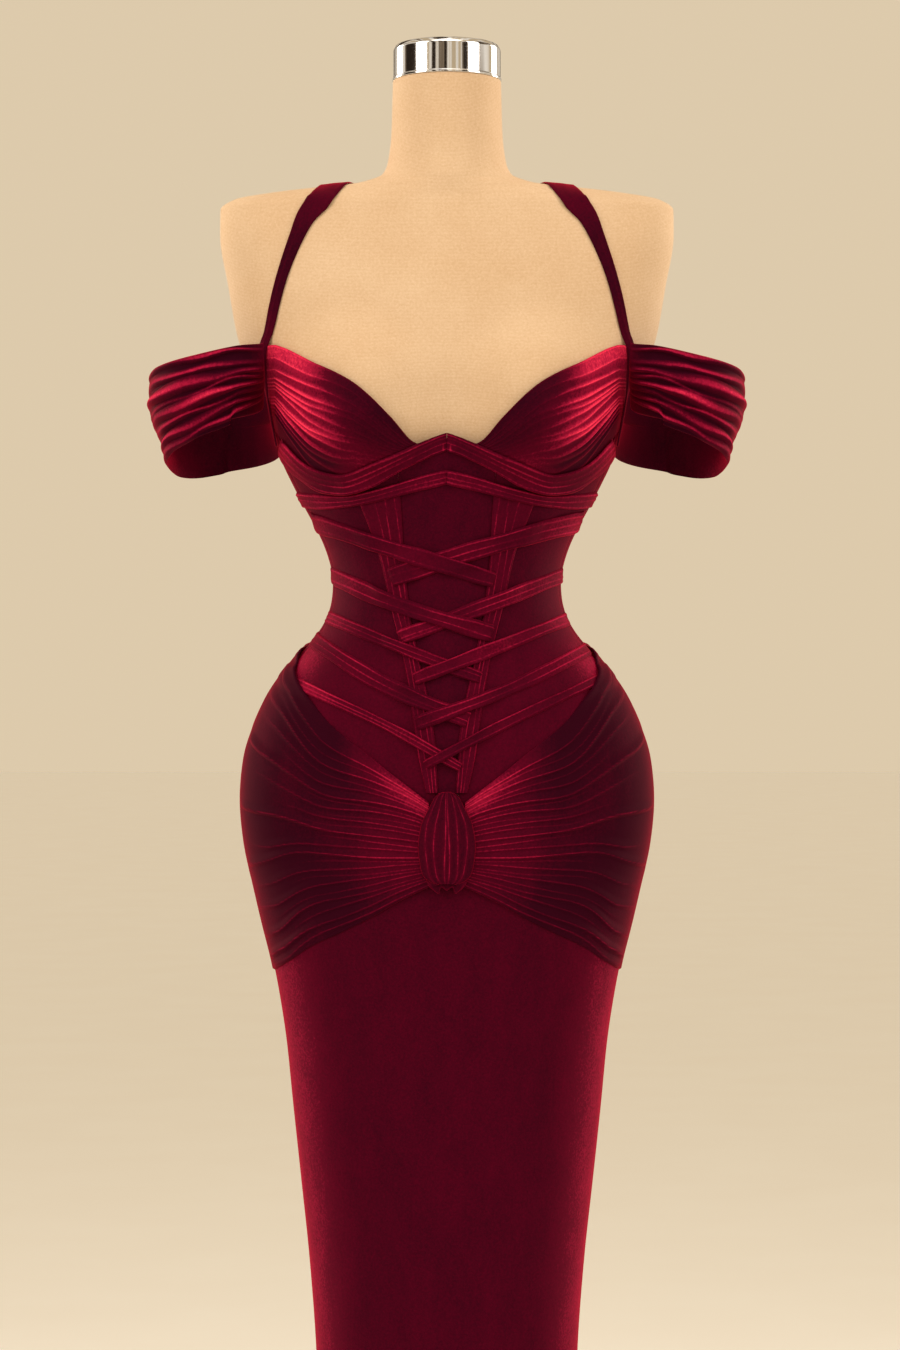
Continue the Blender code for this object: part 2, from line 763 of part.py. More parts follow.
def make_skirt():
    rows = [0, 0.06, 0.15, 0.26, 0.36, 0.48, 0.62, 0.76, 0.84, 0.92, 1]

    def half(middle):
        def point(u, v, side):
            z = mix(HEM_HEIGHT, SKIRT_SEAM, v)
            edge = pi / 2 - SKIRT_SEAM_TURN
            return lifted(at_angle(middle + mix(-edge, edge, u), z), panel_lift(side))

        return point

    cloth("skirt_front", spread(12), rows, half(0), VELVET, ())
    cloth("skirt_back", spread(12), rows, half(pi), VELVET, ())


def shoulder_point(x, y):
    """The skin's point straight above a place on the shoulder."""
    low, high = 1.38, 1.46
    for _ in range(40):
        middle = (low + high) / 2
        if outside(x, y, middle) < 1:
            low = middle
        else:
            high = middle
    return Vector((x, y, low))


def make_straps():
    def strap(sign):
        spots = []
        for z, x, width in STRAP_FRONT:
            spots.append((on_front(x * MM, z * MM), width))
        for y, x, width in STRAP_TOP:
            spots.append((shoulder_point(x * MM, y * MM), width))
        for z, x, width in STRAP_BACK:
            front = on_front(x * MM, z * MM)
            angle = pi - angle_of(front.x, z * MM)
            spots.append((at_angle(angle, z * MM), width))
        rows = [(i, *spot, width * MM) for i, (spot, width) in enumerate(spots)]
        last = len(rows) - 1

        def middle(place):
            place = min(last, max(0, place))
            return Vector([through(rows, column, place) for column in (1, 2, 3)])

        def point(u, v, side):
            place = u * last
            here = middle(place)
            run = (middle(place + 0.2) - middle(place - 0.2)).normalized()
            out = (lifted(here, 1) - here).normalized()
            across = run.cross(out).normalized()
            spot = here + across * (v - 0.5) * through(rows, 4, place)
            on_cup = 1 - ease((here.z - 1.297) / (14 * MM))
            if here.y > 0:
                on_cup = 1 - ease((here.z - 1.262) / (14 * MM))
            lift = mix(0.9 * MM, PANEL_TOP + CUP_FOLD + REST_GAP, on_cup)
            spot = lifted(spot, lift + (BAND_WALL if side else 0))
            return Vector((sign * spot.x, spot.y, spot.z))

        return point

    for word, sign in (("left", -1), ("right", 1)):
        cloth(f"strap_{word}", spread(22), spread(2), strap(sign), VELVET)


def make_sleeves():
    rows = spread(SLEEVE_FOLDS * 2)

    def middle(u, z):
        """A point of the band's middle, with its two ends on the bodice."""
        x, y = (through(SLEEVE, column, u) * MM for column in (1, 2))
        end = lifted(at_angle(angle_of(SLEEVE_END_X, z), z), SLEEVE_FRONT_LIFT)
        if u > 0.5:
            end = lifted(at_angle(pi - angle_of(SLEEVE_END_X, z), z), SLEEVE_BACK_LIFT)
        hug = 1 - ease(min(u, 1 - u) / SLEEVE_HUG)
        return Vector((mix(x, end.x, hug), mix(y, end.y, hug), z))

    def sleeve(sign):
        def point(u, v, side):
            z = mix(through(SLEEVE, 4, u), through(SLEEVE, 3, u), v) * MM
            run = middle(min(1, u + 0.04), z) - middle(max(0, u - 0.04), z)
            out = Vector((run.y, -run.x, 0)).normalized()
            ruched = 1 - ease((u - 0.46) / 0.14)
            fold = SLEEVE_FOLD * (0.5 - 0.5 * cos(2 * pi * SLEEVE_FOLDS * v)) * ruched
            fold *= ease((u - 0.04) / 0.1)
            belly = 5 * MM * sin(pi * v) * ease(min(u, 1 - u) / SLEEVE_HUG)
            spot = middle(u, z) + out * (belly + (SLEEVE_WALL + fold if side else 0))
            return Vector((sign * spot.x, spot.y, spot.z))

        return point

    for word, sign in (("left", -1), ("right", 1)):
        cloth(f"sleeve_{word}", spread(12), rows, sleeve(sign), VELVET_BRIGHT, ())


def main():
    for piece in list(bpy.data.objects):
        bpy.data.objects.remove(piece, do_unlink=True)
    collection = bpy.data.collections.new("evening_dress")
    bpy.context.scene.collection.children.link(collection)
    make_form()
    make_stand()
    make_skirt()
    make_bodice()
    make_cups()
    make_strips()
    make_bands()
    make_drapes()
    make_knot()
    make_straps()
    make_sleeves()


main()
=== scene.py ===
"""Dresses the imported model: a velvet evening dress on its limbless dress form and stand.

Every cloth piece is a thin wall laid on the form's skin, with its folds, seams and pile.
Left is the viewer's left, -X, and the front faces -Y. All sizes are in metres.
"""

from math import pi, radians

import bmesh
import bpy
import numpy as np
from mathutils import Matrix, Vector


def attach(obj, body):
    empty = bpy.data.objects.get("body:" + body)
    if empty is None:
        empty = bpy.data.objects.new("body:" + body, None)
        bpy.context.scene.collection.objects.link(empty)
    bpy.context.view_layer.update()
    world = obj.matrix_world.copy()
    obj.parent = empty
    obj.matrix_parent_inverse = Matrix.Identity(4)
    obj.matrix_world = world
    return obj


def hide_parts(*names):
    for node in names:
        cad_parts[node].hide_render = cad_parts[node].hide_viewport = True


bl_info = {
    "name": "Velvet evening dress",
    "version": (1, 0, 0),
    "blender": (4, 5, 0),
    "location": "View3D > Sidebar > Dress",
    "description": "Builds a velvet evening dress on a dress form, piece by piece",
    "category": "Add Mesh",
}

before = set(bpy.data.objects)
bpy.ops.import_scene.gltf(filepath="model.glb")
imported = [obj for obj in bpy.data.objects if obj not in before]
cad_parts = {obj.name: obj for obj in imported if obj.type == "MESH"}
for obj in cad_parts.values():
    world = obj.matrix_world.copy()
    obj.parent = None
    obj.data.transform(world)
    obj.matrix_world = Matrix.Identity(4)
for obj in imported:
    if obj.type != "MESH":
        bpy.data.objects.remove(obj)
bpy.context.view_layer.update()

MM = 0.001

# How the cloth lies: gap over the form, walls, and the steps from layer to layer. SEAM and CLOSE
# are the gaps that pieces leave beside each other, and FORM_EASE is how far the form's cover is
# drawn in under the cloth
FORM_GAP = 1.0 * MM
PANEL_WALL = 1.6 * MM
PANEL_TOP = FORM_GAP + PANEL_WALL
REST_GAP = 0.25 * MM
BAND_WALL = 1.4 * MM
BAND_RIDGE = 0.65 * MM
BAND_STEP = REST_GAP + BAND_WALL + BAND_RIDGE
CUP_STEP = 1.5 * MM
SEAM = 0.3 * MM
CLOSE = 0.08 * MM
FORM_EASE = 4.5 * MM
STEP_EASE = 9 * MM
STEP_HOLD = 1.5 * MM

# About how wide a panel lies, and the body's radius where two pieces close on each other
SKIRT_WIDTH, PANEL_WIDTH, BACK_WIDTH = 0.45, 0.09, 0.24
HIP_RADIUS, SIDE_RADIUS, BACK_RADIUS = 0.2, 0.12, 0.15
# About how high the bodice's front reaches, to place its seams before its top edge is known
BODICE_TOP = 1.19

HEM_HEIGHT = 0.012
SKIRT_SEAM = 0.862
FORM_BOTTOM = 0.660
NECK_TOP = 1.547
CAP_TOP = 1.581

# The form's skin: height, half width, depth of front and of back (mm), and squareness of the ring
SKIN = [
    (12, 205, 187, 187, 2.0), (60, 184, 165, 165, 2.0), (150, 150, 130, 130, 2.0),
    (250, 124, 104, 104, 2.0), (330, 115.5, 95, 95, 2.0), (382, 117.3, 95, 95, 2.0),
    (464, 123.3, 96, 97, 2.0), (537, 131.1, 97, 99, 2.0), (611, 139, 98, 101, 2.0),
    (666, 144.5, 99, 103, 2.0), (703, 150, 100, 106, 2.0), (740, 157, 101, 110, 2.0),
    (776, 166, 102, 114, 2.0), (813, 173.5, 103, 118, 2.0), (850, 180, 103, 121, 2.0),
    (887, 182.4, 103, 122, 2.0), (924, 179.8, 101, 119, 2.0), (960, 169.5, 98, 112, 2.0),
    (979, 162, 96, 106, 2.0), (997, 151, 93, 100, 2.0), (1016, 136, 90, 93, 2.0),
    (1034, 120, 88, 87, 2.0), (1052, 108.5, 86, 83, 2.0), (1071, 103, 85, 80, 2.0),
    (1089, 102, 85, 79, 2.0), (1108, 105.8, 86, 80, 2.0), (1126, 112.3, 88, 83, 2.0),
    (1144, 121.5, 91, 86, 2.0), (1163, 132, 94, 89, 2.0), (1181, 141, 97, 91, 2.1),
    (1200, 150, 100, 93, 2.2), (1240, 159, 102, 95, 2.4), (1262, 162, 102, 96, 2.4),
    (1280, 174, 100, 97, 2.4), (1300, 189, 96, 97, 2.4), (1360, 201, 81, 92, 2.8),
    (1405, 208, 68, 80, 3.2), (1428, 208, 62, 72, 2.8), (1438, 197, 60, 70, 1.9),
    (1444.5, 165, 60, 68, 1.5), (1452, 88, 60, 66, 1.6), (1461, 60, 58, 62, 1.9),
    (1473, 54.3, 55, 58, 2.0), (1500, 51, 52, 54, 2.0), (1547, 49.7, 50, 52, 2.0),
]

# Bust: place and rise of each soft mound, and how far it reaches up, down and sideways
BUST_X, BUST_Z, BUST_RISE = 0.086, 1.238, 0.036
BUST_UP, BUST_DOWN, BUST_SIDE = 0.100, 0.080, 0.084

# Cup: distance from the centre line (mm), height of its top and bottom edges
CUP_INNER, CUP_OUTER = 0.021, 0.1525
CUP_EDGES = [
    (21, 1205.5, 1199.0), (30, 1209.0, 1195.0), (50, 1229.5, 1183.0), (78, 1256.0, 1174.0),
    (91, 1265.0, 1172.0), (117, 1279.0, 1180.0), (140, 1289.5, 1202.0), (152.5, 1294.0, 1222.0),
]
PEAK_HEIGHT = 1.2135

# Vertical strips: height, distance of the inner and outer edge from the centre line (mm)
STRIP = [
    (1165, 41, 80), (1152, 40, 75), (1110, 37.5, 59.5), (1058, 32, 48), (1015, 24, 38),
    (970, 14.5, 31), (934, 9.5, 26), (897, 8, 18),
]

# Bands over the bodice (mm): name, side that it starts from, start, middle and end as distance
# across the dress from that side's half (plus towards the side) and height, then its width
BANDS = [
    ("lacing_1_right", 1, 118, 1143, 46, 1120.5, -51, 1088.5, 17),
    ("lacing_1_left", -1, 118, 1142, 40, 1112.5, -42, 1086, 15),
    ("lacing_2_right", 1, 100.5, 1092.5, 44, 1067.5, -42, 1034, 14),
    ("lacing_2_left", -1, 100.5, 1093, 46, 1065.5, -41, 1037, 15),
    ("lacing_3_left", -1, 101.5, 1052.5, 46, 1027.5, -31, 998, 11),
    ("lacing_3_right", 1, 103, 1050.5, 44, 1025.5, -30, 996.5, 12),
    ("lacing_4_left", -1, 116, 1031.5, 52, 991, -20, 961, 15),
    ("lacing_4_right", 1, 122, 1022.5, 53, 988, -28, 957.5, 12),
    ("lacing_5_left", -1, 129, 992, 51, 955.5, -13, 919, 9),
    ("lacing_5_right", 1, 129, 995, 58, 961.5, -20, 921, 9),
]
UNDERBUST_BAND = [(0, 1178), (28, 1171.5), (66, 1162.5), (96, 1158), (118, 1160), (131, 1163)]
UNDERBUST_BAND_WIDTH = 12 * MM
WRAP = [(0, 1207), (31, 1196.5), (66, 1180), (92, 1171.5), (118, 1177.5), (143, 1197)]
WRAP_WIDTH = 12 * MM

# Hip drape: angle round the body (degrees from the front), height of its top and bottom edges
DRAPE_EDGES = [
    (5, 889, 814), (14, 910, 801), (24, 933, 785), (37, 957, 769), (49, 980, 758),
    (63, 999, 747), (88, 1027, 738), (120, 1034, 734), (150, 1024, 731), (179.8, 1016, 730),
]
DRAPE_SIDE, DRAPE_CLOSE = 88.0, 0.04
# Ridges of the back drape: place from its top edge (0) to its bottom edge (1), height (mm)
BACK_DRAPE_FOLDS = [(0.06, 2.0), (0.26, 2.4), (0.48, 1.8), (0.70, 2.4), (0.92, 2.0)]
DRAPE_BUNCH = 1.2 * MM
DRAPE_FULLNESS, DRAPE_SIDE_DROP = 3.5 * MM, 6

# Knot loop: height and half width (mm)
KNOT = [(808, 11), (818, 18), (832, 23), (850, 25), (868, 22.5), (884, 15.5), (898, 8)]
KNOT_DOME = 7 * MM
KNOT_SEAT = 7.4 * MM

# Shoulder strap, front: height, distance from the centre line, width (mm)
STRAP_FRONT = [
    (1212, 157, 7), (1250, 161, 8), (1290, 163, 9), (1324, 157, 10.5),
    (1360, 148, 11), (1396, 135, 14), (1414, 127, 18), (1430, 115, 23),
]
# Over the shoulder: depth from the form's middle (mm, plus behind), then as above
STRAP_TOP = [(-28, 103, 28), (0, 100, 30), (30, 100, 28)]
STRAP_BACK = [(1430, 102, 22), (1390, 105, 16), (1340, 104, 13), (1290, 98, 12), (1262, 94, 12)]

# Back of the bodice: height of its top edge at the side and at the centre back
BACK_TOP_SIDE, BACK_TOP_CENTRE = 1.258, 1.247

# Sleeve band round the missing arm: share of its way from the front end to the back end, distance
# from the centre line and depth (plus behind), heights of its top and bottom edges (mm)
SLEEVE = [
    (0.00, 160, -64, 1301, 1246), (0.14, 188, -76, 1297, 1230), (0.32, 230, -72, 1288, 1215),
    (0.46, 263, -40, 1280, 1202), (0.54, 270, -8, 1276, 1195), (0.64, 262, 32, 1279, 1186),
    (0.78, 232, 66, 1284, 1182), (0.90, 190, 78, 1288, 1186), (1.00, 160, 70, 1291, 1196),
]
SLEEVE_HUG = 0.14
SLEEVE_END_X = 0.158
# How far its ends stand off the skin: in front it lies over the strap
SLEEVE_FRONT_LIFT = 11.2 * MM
SLEEVE_BACK_LIFT = PANEL_TOP + 0.6 * MM
# How far its back end is lower at the top and higher at the bottom than the table says, and how
# far it is drawn in at its lower edge (mm)
SLEEVE_BACK_DROP, SLEEVE_BACK_RISE, SLEEVE_DRAWN_IN = 24 * MM, 9 * MM, 13
SLEEVE_WALL = 1.8 * MM

# Stand
BASE_RADIUS, BASE_HEIGHT = 0.150, 0.010
POLE_RADIUS = 0.0125
COLLAR_RADIUS, COLLAR_TOP = 0.026, 0.045
FLANGE_RADIUS, FLANGE_HEIGHT = 0.045, 0.006


def through(rows, column, places):
    """A column's values at the places, on a smooth curve through the rows' values."""
    table = np.asarray(rows, float)
    known, values = table[:, 0], table[:, column]
    places = np.clip(places, known[0], known[-1])
    i = np.clip(np.searchsorted(known, places, side="right") - 1, 0, len(known) - 2)
    gaps = np.diff(known)
    slopes = np.diff(values) / gaps
    tangents = np.concatenate([[slopes[0]], np.zeros(len(slopes) - 1), [slopes[-1]]])
    for k in range(1, len(slopes)):
        if slopes[k - 1] * slopes[k] > 0:
            tangents[k] = 2 * slopes[k - 1] * slopes[k] / (slopes[k - 1] + slopes[k])
    t = (places - known[i]) / gaps[i]
    return (
        values[i] * (1 + 2 * t) * (1 - t) ** 2
        + tangents[i] * gaps[i] * t * (1 - t) ** 2
        + values[i + 1] * t * t * (3 - 2 * t)
        + tangents[i + 1] * gaps[i] * t * t * (t - 1)
    )


def ease(value):
    """0 below 0, 1 above 1, and a smooth step between."""
    t = np.clip(value, 0, 1)
    return t * t * (3 - 2 * t)


def mix(a, b, share):
    return a + (b - a) * share


def bump(distance, half):
    """A soft ridge: 1 at its middle and 0 from its half width out."""
    return np.cos(pi / 2 * np.clip(np.abs(distance) / half, 0, 1)) ** 2


def unit(vectors):
    return vectors / np.linalg.norm(vectors, axis=-1, keepdims=True)


def inwards(share):
    """How far a place from 0 to 1 is from the nearer end."""
    return np.minimum(share, 1 - share)


def smooth_skin():
    """The skin's rings at each millimetre, with the table's corners smoothed below the bust."""
    heights = np.arange(0.0, 1600.0)
    rings = [through(SKIN, column, heights) for column in (1, 2, 3, 4)]
    reach = np.arange(-30, 31)
    window = np.exp(-((reach / 9.0) ** 2))
    window /= window.sum()
    keep = ease((heights - 1290) / 70)
    smooth = []
    for values in rings:
        padded = np.pad(values, 30, mode="edge")
        soft = np.convolve(padded, window, mode="valid")
        smooth.append(mix(soft, values, keep))
    return heights * MM, smooth[0] * MM, smooth[1] * MM, smooth[2] * MM, smooth[3]


RINGS = smooth_skin()


def ring(z):
    """Half width, front depth, back depth and squareness of the skin at a height."""
    return tuple(np.interp(z, RINGS[0], values) for values in RINGS[1:])


def bust(x, z):
    """How far the bust stands forward of the ring."""
    side = (np.abs(x) - BUST_X) / BUST_SIDE
    rise = (z - BUST_Z) / np.where(z > BUST_Z, BUST_UP, BUST_DOWN)
    reach = side * side + rise * rise
    return BUST_RISE * np.clip(1 - reach, 0, 1) ** 2


def outside(x, y, z):
    """Below 1 inside the form's skin, 1 on it and more outside."""
    width, front, back, square = ring(z)
    y = y + bust(x, z) * ease(0.5 - y / (20 * MM))
    depth = np.where(y < 0, front, back)
    return ((np.abs(x) / width) ** square + (np.abs(y) / depth) ** square) ** (1 / square)


def lifted(points, lift):
    """Points of the skin, moved straight out of it."""
    step = 0.3 * MM
    slope = np.zeros_like(points)
    for axis in range(3):
        push = np.zeros(3)
        push[axis] = step
        slope[..., axis] = outside(*(points + push).T) - outside(*(points - push).T)
    return points + unit(slope) * np.broadcast_to(lift, points.shape[:1])[:, None]


def at_angle(angle, z):
    """The skin's points at an angle round the body, 0 in front and plus towards +X."""
    width, front, back, square = ring(z)
    s, c = np.sin(angle), np.cos(angle)
    x = width * np.abs(s) ** (2 / square) * np.sign(s)
    ahead = -front * np.abs(c) ** (2 / square)
    ahead = ahead - bust(x, z) * ease(-ahead / (20 * MM))
    behind = back * np.abs(c) ** (2 / square)
    return np.stack([x, np.where(c > 0, ahead, behind), z + 0 * x], axis=-1)


def angle_of(x, z):
    """The angle on the front at a distance from the centre line."""
    width, _, _, square = ring(z)
    share = np.clip(np.abs(x) / width, 0, 1) ** (square / 2)
    return np.arcsin(share) * np.sign(x)


def on_front(x, z):
    width = ring(z)[0]
    return at_angle(angle_of(np.clip(x, -0.985 * width, 0.985 * width), z), z)


def seam_angle(z):
    """Where the side seam runs: near the side, and behind the cup's outer edge above the waist."""
    return angle_of(np.minimum(0.978 * ring(z)[0], CUP_OUTER), z)


def cup_edge(x, column):
    return through(CUP_EDGES, column, np.abs(x) / MM) * MM


def bodice_top(x):
    """Height of the bodice panels' top edge, at the bottom of the cups."""
    share = ease(np.abs(x) / CUP_INNER)
    inside = PEAK_HEIGHT + (cup_edge(CUP_INNER, 2) - PEAK_HEIGHT) * share
    return np.where(np.abs(x) < CUP_INNER, inside, cup_edge(x, 2))


def strip_edge(z, column):
    return through(sorted(STRIP), column, z / MM) * MM


class Band:
    """A strip of cloth on the front: a smooth route, and how far a place lies from it."""

    STEPS = 60

    def __init__(self, route, width):
        self.width = width
        rows = [(i, x * MM, z * MM) for i, (x, z) in enumerate(route)]
        places = np.linspace(0, len(rows) - 1, self.STEPS + 1)
        line = np.stack([through(rows, 1, places), through(rows, 2, places)], axis=-1)
        for _ in range(30):
            line[1:-1] = (line[:-2] + 2 * line[1:-1] + line[2:]) / 4
        self.points = line

    def at(self, along):
        """The route's points and their directions across, pointing up."""
        places = np.linspace(0, 1, self.STEPS + 1)
        here = np.stack([np.interp(along, places, self.points[:, k]) for k in (0, 1)], axis=-1)
        runs = np.gradient(self.points, axis=0)
        run = np.stack([np.interp(along, places, runs[:, k]) for k in (0, 1)], axis=-1)
        run = unit(run)
        across = np.stack([-run[:, 1], run[:, 0]], axis=-1)
        return here, across * np.where(across[:, 1:] > 0, 1, -1)

    def away(self, x, z):
        """Distance of places on the front from the band's edge."""
        spots = np.stack([x, z], axis=-1)
        nearest = np.full(len(spots), 1.0)
        for a, b in zip(self.points, self.points[1:]):
            run = b - a
            share = np.clip((spots - a) @ run / (run @ run), 0, 1)
            gap = np.linalg.norm(spots - a - share[:, None] * run, axis=-1)
            nearest = np.minimum(nearest, gap)
        return nearest - self.width / 2


def strip_away(x, z):
    """Distance of places on the front from the vertical strips."""
    inner, outer = strip_edge(z, 1), strip_edge(z, 2)
    sideways = np.maximum(inner - np.abs(x), np.abs(x) - outer)
    upright = np.maximum(STRIP[-1][0] * MM - z, z - STRIP[0][0] * MM)
    return np.maximum(sideways, upright)


def cup_away(x, z):
    return np.maximum(bodice_top(x) - z, CUP_INNER - np.abs(x))


# What lies on the panels so far: how far a place is from it, how much it adds and how softly
laid = [(strip_away, BAND_STEP, 2 * STEP_EASE), (cup_away, CUP_STEP, STEP_EASE)]


def cover(x, z):
    """The lift of the top of all that is laid at places on the front so far."""
    lift = np.full(len(x), PANEL_TOP)
    for away, step, soft in laid:
        lift = lift + step * (1 - ease((away(x, z) - STEP_HOLD) / soft))
    return lift


def linear(colour):
    """An sRGB hex colour as linear red, green and blue."""
    parts = [int(colour[i : i + 2], 16) / 255 for i in (1, 3, 5)]
    return tuple(p / 12.92 if p <= 0.04045 else ((p + 0.055) / 1.055) ** 2.4 for p in parts)


def finished(name, bm, material, replaces):
    """A piece's object from its bmesh, with smooth faces that point out."""
    bmesh.ops.recalc_face_normals(bm, faces=bm.faces[:])
    if bm.calc_volume(signed=True) < 0:
        bmesh.ops.reverse_faces(bm, faces=bm.faces[:])
    mesh = bpy.data.meshes.new(name)
    bm.to_mesh(mesh)
    bm.free()
    mesh.shade_smooth()
    mesh.set_sharp_from_angle(angle=radians(62))
    mesh.materials.append(material)
    piece = bpy.data.objects.new(name, mesh)
    bpy.context.scene.collection.objects.link(piece)
    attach(piece, "root")
    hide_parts(*replaces)
    return piece


# How many faces across and up each piece's grid has
GRIDS = {
    "skirt_front": (84, 110), "skirt_back": (84, 110), "corset_centre_front": (36, 90),
    "corset_side_front": (32, 90), "corset_back": (60, 100), "cup": (114, 124),
    "strip": (36, 100), "underbust": (118, 18), "lacing": (118, 18), "hip_drape": (114, 214),
    "hip_drape_back": (60, 100), "knot_loop": (84, 90), "strap": (180, 14),
    "sleeve": (122, 126),
}


def looked_up(table, node):
    """A table's entry for a node: by its own name, both sides' shared name, or its first word."""
    names = (node, node.removesuffix("_left").removesuffix("_right"), node.split("_")[0])
    return next(table[name] for name in names if name in table)


def cloth(node, shape, material):
    """A wall of cloth in a node's place: a grid, grown to a closed wall, laid by shape.

    shape takes places across and up from 0 to 1, and side, 0 inside and 1 outside. It gives the
    points and a share from 0, dark, to 1, bright, that the colour follows: the nap's own tone
    with painted light and shade on it, such as painted highlights on crests and painted shade in
    valleys.
    """
    columns, rows = looked_up(GRIDS, node)
    bm = bmesh.new()
    # The layer holds the nap's own tone with painted light and shade on it
    pile_tone_and_light = bm.verts.layers.float.new("pile_tone_and_light")
    bmesh.ops.create_grid(bm, x_segments=columns, y_segments=rows, size=0.5)
    inner = bm.verts[:]
    grown = bmesh.ops.extrude_face_region(bm, geom=bm.faces[:])["geom"]
    outer = [v for v in grown if isinstance(v, bmesh.types.BMVert)]
    for verts, side in ((inner, 0), (outer, 1)):
        grid = np.array([v.co for v in verts])
        u, v = np.clip(grid[:, 0] + 0.5, 0, 1), np.clip(grid[:, 1] + 0.5, 0, 1)
        places, brushed_and_lit = shape(u, v, side)
        brushed_and_lit = np.broadcast_to(brushed_and_lit, u.shape)
        for vert, place, share in zip(verts, places, brushed_and_lit):
            vert.co = place
            vert[pile_tone_and_light] = share
    return finished(f"{node}_velvet", bm, material, [node])


def mirrored(shape):
    """The same shape on the viewer's left."""

    def point(u, v, side):
        places, brushed_and_lit = shape(u, v, side)
        return places * np.array([-1, 1, 1]), brushed_and_lit

    return point


SIDES = (("left", -1), ("right", 1))


def both_sides(shapes, material):
    """Each node's shape as two pieces, mirrored on the viewer's left."""
    made = []
    for word, sign in SIDES:
        for node, shape in shapes.items():
            turned_shape = shape if sign > 0 else mirrored(shape)
            made.append(cloth(f"{node}_{word}", turned_shape, material))
    return made


def sheets(pieces):
    """The operator's result, once the pieces are made."""
    return {"FINISHED"}


def turned(name, profile, material, replaces, segments=96, centre_y=0.0):
    """A turned solid: its profile, radius and height from top to bottom, spun round Z."""
    bm = bmesh.new()
    verts = [bm.verts.new((radius, 0, z)) for radius, z in profile]
    for a, b in zip(verts, verts[1:]):
        bm.edges.new((a, b))
    bmesh.ops.spin(
        bm, geom=bm.verts[:] + bm.edges[:], axis=(0, 0, 1), cent=(0, 0, 0),
        angle=2 * pi, steps=segments, use_merge=True,
    )
    bmesh.ops.remove_doubles(bm, verts=bm.verts[:], dist=0.01 * MM)
    bmesh.ops.translate(bm, verts=bm.verts[:], vec=(0, centre_y, 0))
    piece = finished(name, bm, material, replaces)
    piece.data.set_sharp_from_angle(angle=radians(30))
    return piece


def even_angles(z, count):
    """Angles that share the skin's ring at each height out evenly, count of them a ring."""
    fine = np.linspace(0, 2 * pi, 721)
    result = np.zeros((len(z), count))
    for row, height in enumerate(z):
        points = at_angle(fine, np.full(721, height))
        run = np.concatenate([[0], np.cumsum(np.linalg.norm(np.diff(points, axis=0), axis=1))])
        result[row] = np.interp(np.arange(count) / count * run[-1], run, fine)
    return result


def add(tree, kind, settings=None, links=None):
    """Adds a node: settings set its own properties or sockets, links join its sockets."""
    node = tree.nodes.new(kind)
    for key, value in (settings or {}).items():
        if isinstance(key, str) and hasattr(node, key) and key not in node.inputs:
            setattr(node, key, value)
        else:
            node.inputs[key].default_value = value
    for key, source in (links or {}).items():
        tree.links.new(source, node.inputs[key])
    return node


def started(name):
    """A new material with only its output left, its tree and the place on the object."""
    material = bpy.data.materials.new(name)
    material.use_nodes = True
    tree = material.node_tree
    for node in list(tree.nodes):
        if node.type != "OUTPUT_MATERIAL":
            tree.nodes.remove(node)
    return material, tree, add(tree, "ShaderNodeTexCoord").outputs["Object"]


def ended(material, settings, links):
    """The material with its shader joined to its output."""
    tree = material.node_tree
    shader = add(tree, "ShaderNodeBsdfPrincipled", settings, links)
    tree.links.new(shader.outputs["BSDF"], tree.nodes["Material Output"].inputs["Surface"])
    return material


def noise(tree, place, size, **settings):
    """Soft noise with patches of a size in metres."""
    settings["Scale"] = 1 / size
    return add(tree, "ShaderNodeTexNoise", settings, {"Vector": place}).outputs["Fac"]


def scaled(tree, place, scale):
    """The place with its axes scaled, for a pattern that is longer one way."""
    return add(tree, "ShaderNodeMapping", {"Scale": scale}, {"Vector": place}).outputs["Vector"]


def mapped(tree, value, low, high, to_low=0.0, to_high=1.0):
    """A value from between low and high, brought between the other two."""
    settings = {"From Min": low, "From Max": high, "To Min": to_low, "To Max": to_high}
    return add(tree, "ShaderNodeMapRange", settings, {"Value": value}).outputs["Result"]


def worked(tree, operation, *terms):
    """The result of one sum over numbers and other nodes' outputs."""
    numbers = {k: term for k, term in enumerate(terms) if isinstance(term, float)}
    links = {k: term for k, term in enumerate(terms) if not isinstance(term, float)}
    return add(tree, "ShaderNodeMath", {"operation": operation, **numbers}, links).outputs[0]


def raised(tree, height, strength, distance):
    """The normal of a surface with small bumps."""
    settings = {"Strength": strength, "Distance": distance}
    return add(tree, "ShaderNodeBump", settings, {"Height": height}).outputs["Normal"]


def ramp(tree, source, stops):
    """A colour ramp over places and hex colours."""
    node = add(tree, "ShaderNodeValToRGB", links={"Fac": source})
    elements = node.color_ramp.elements
    while len(elements) < len(stops):
        elements.new(0.5)
    for element, (place, colour) in zip(elements, stops):
        element.position = place
        element.color = (*linear(colour), 1)
    return node.outputs["Color"]


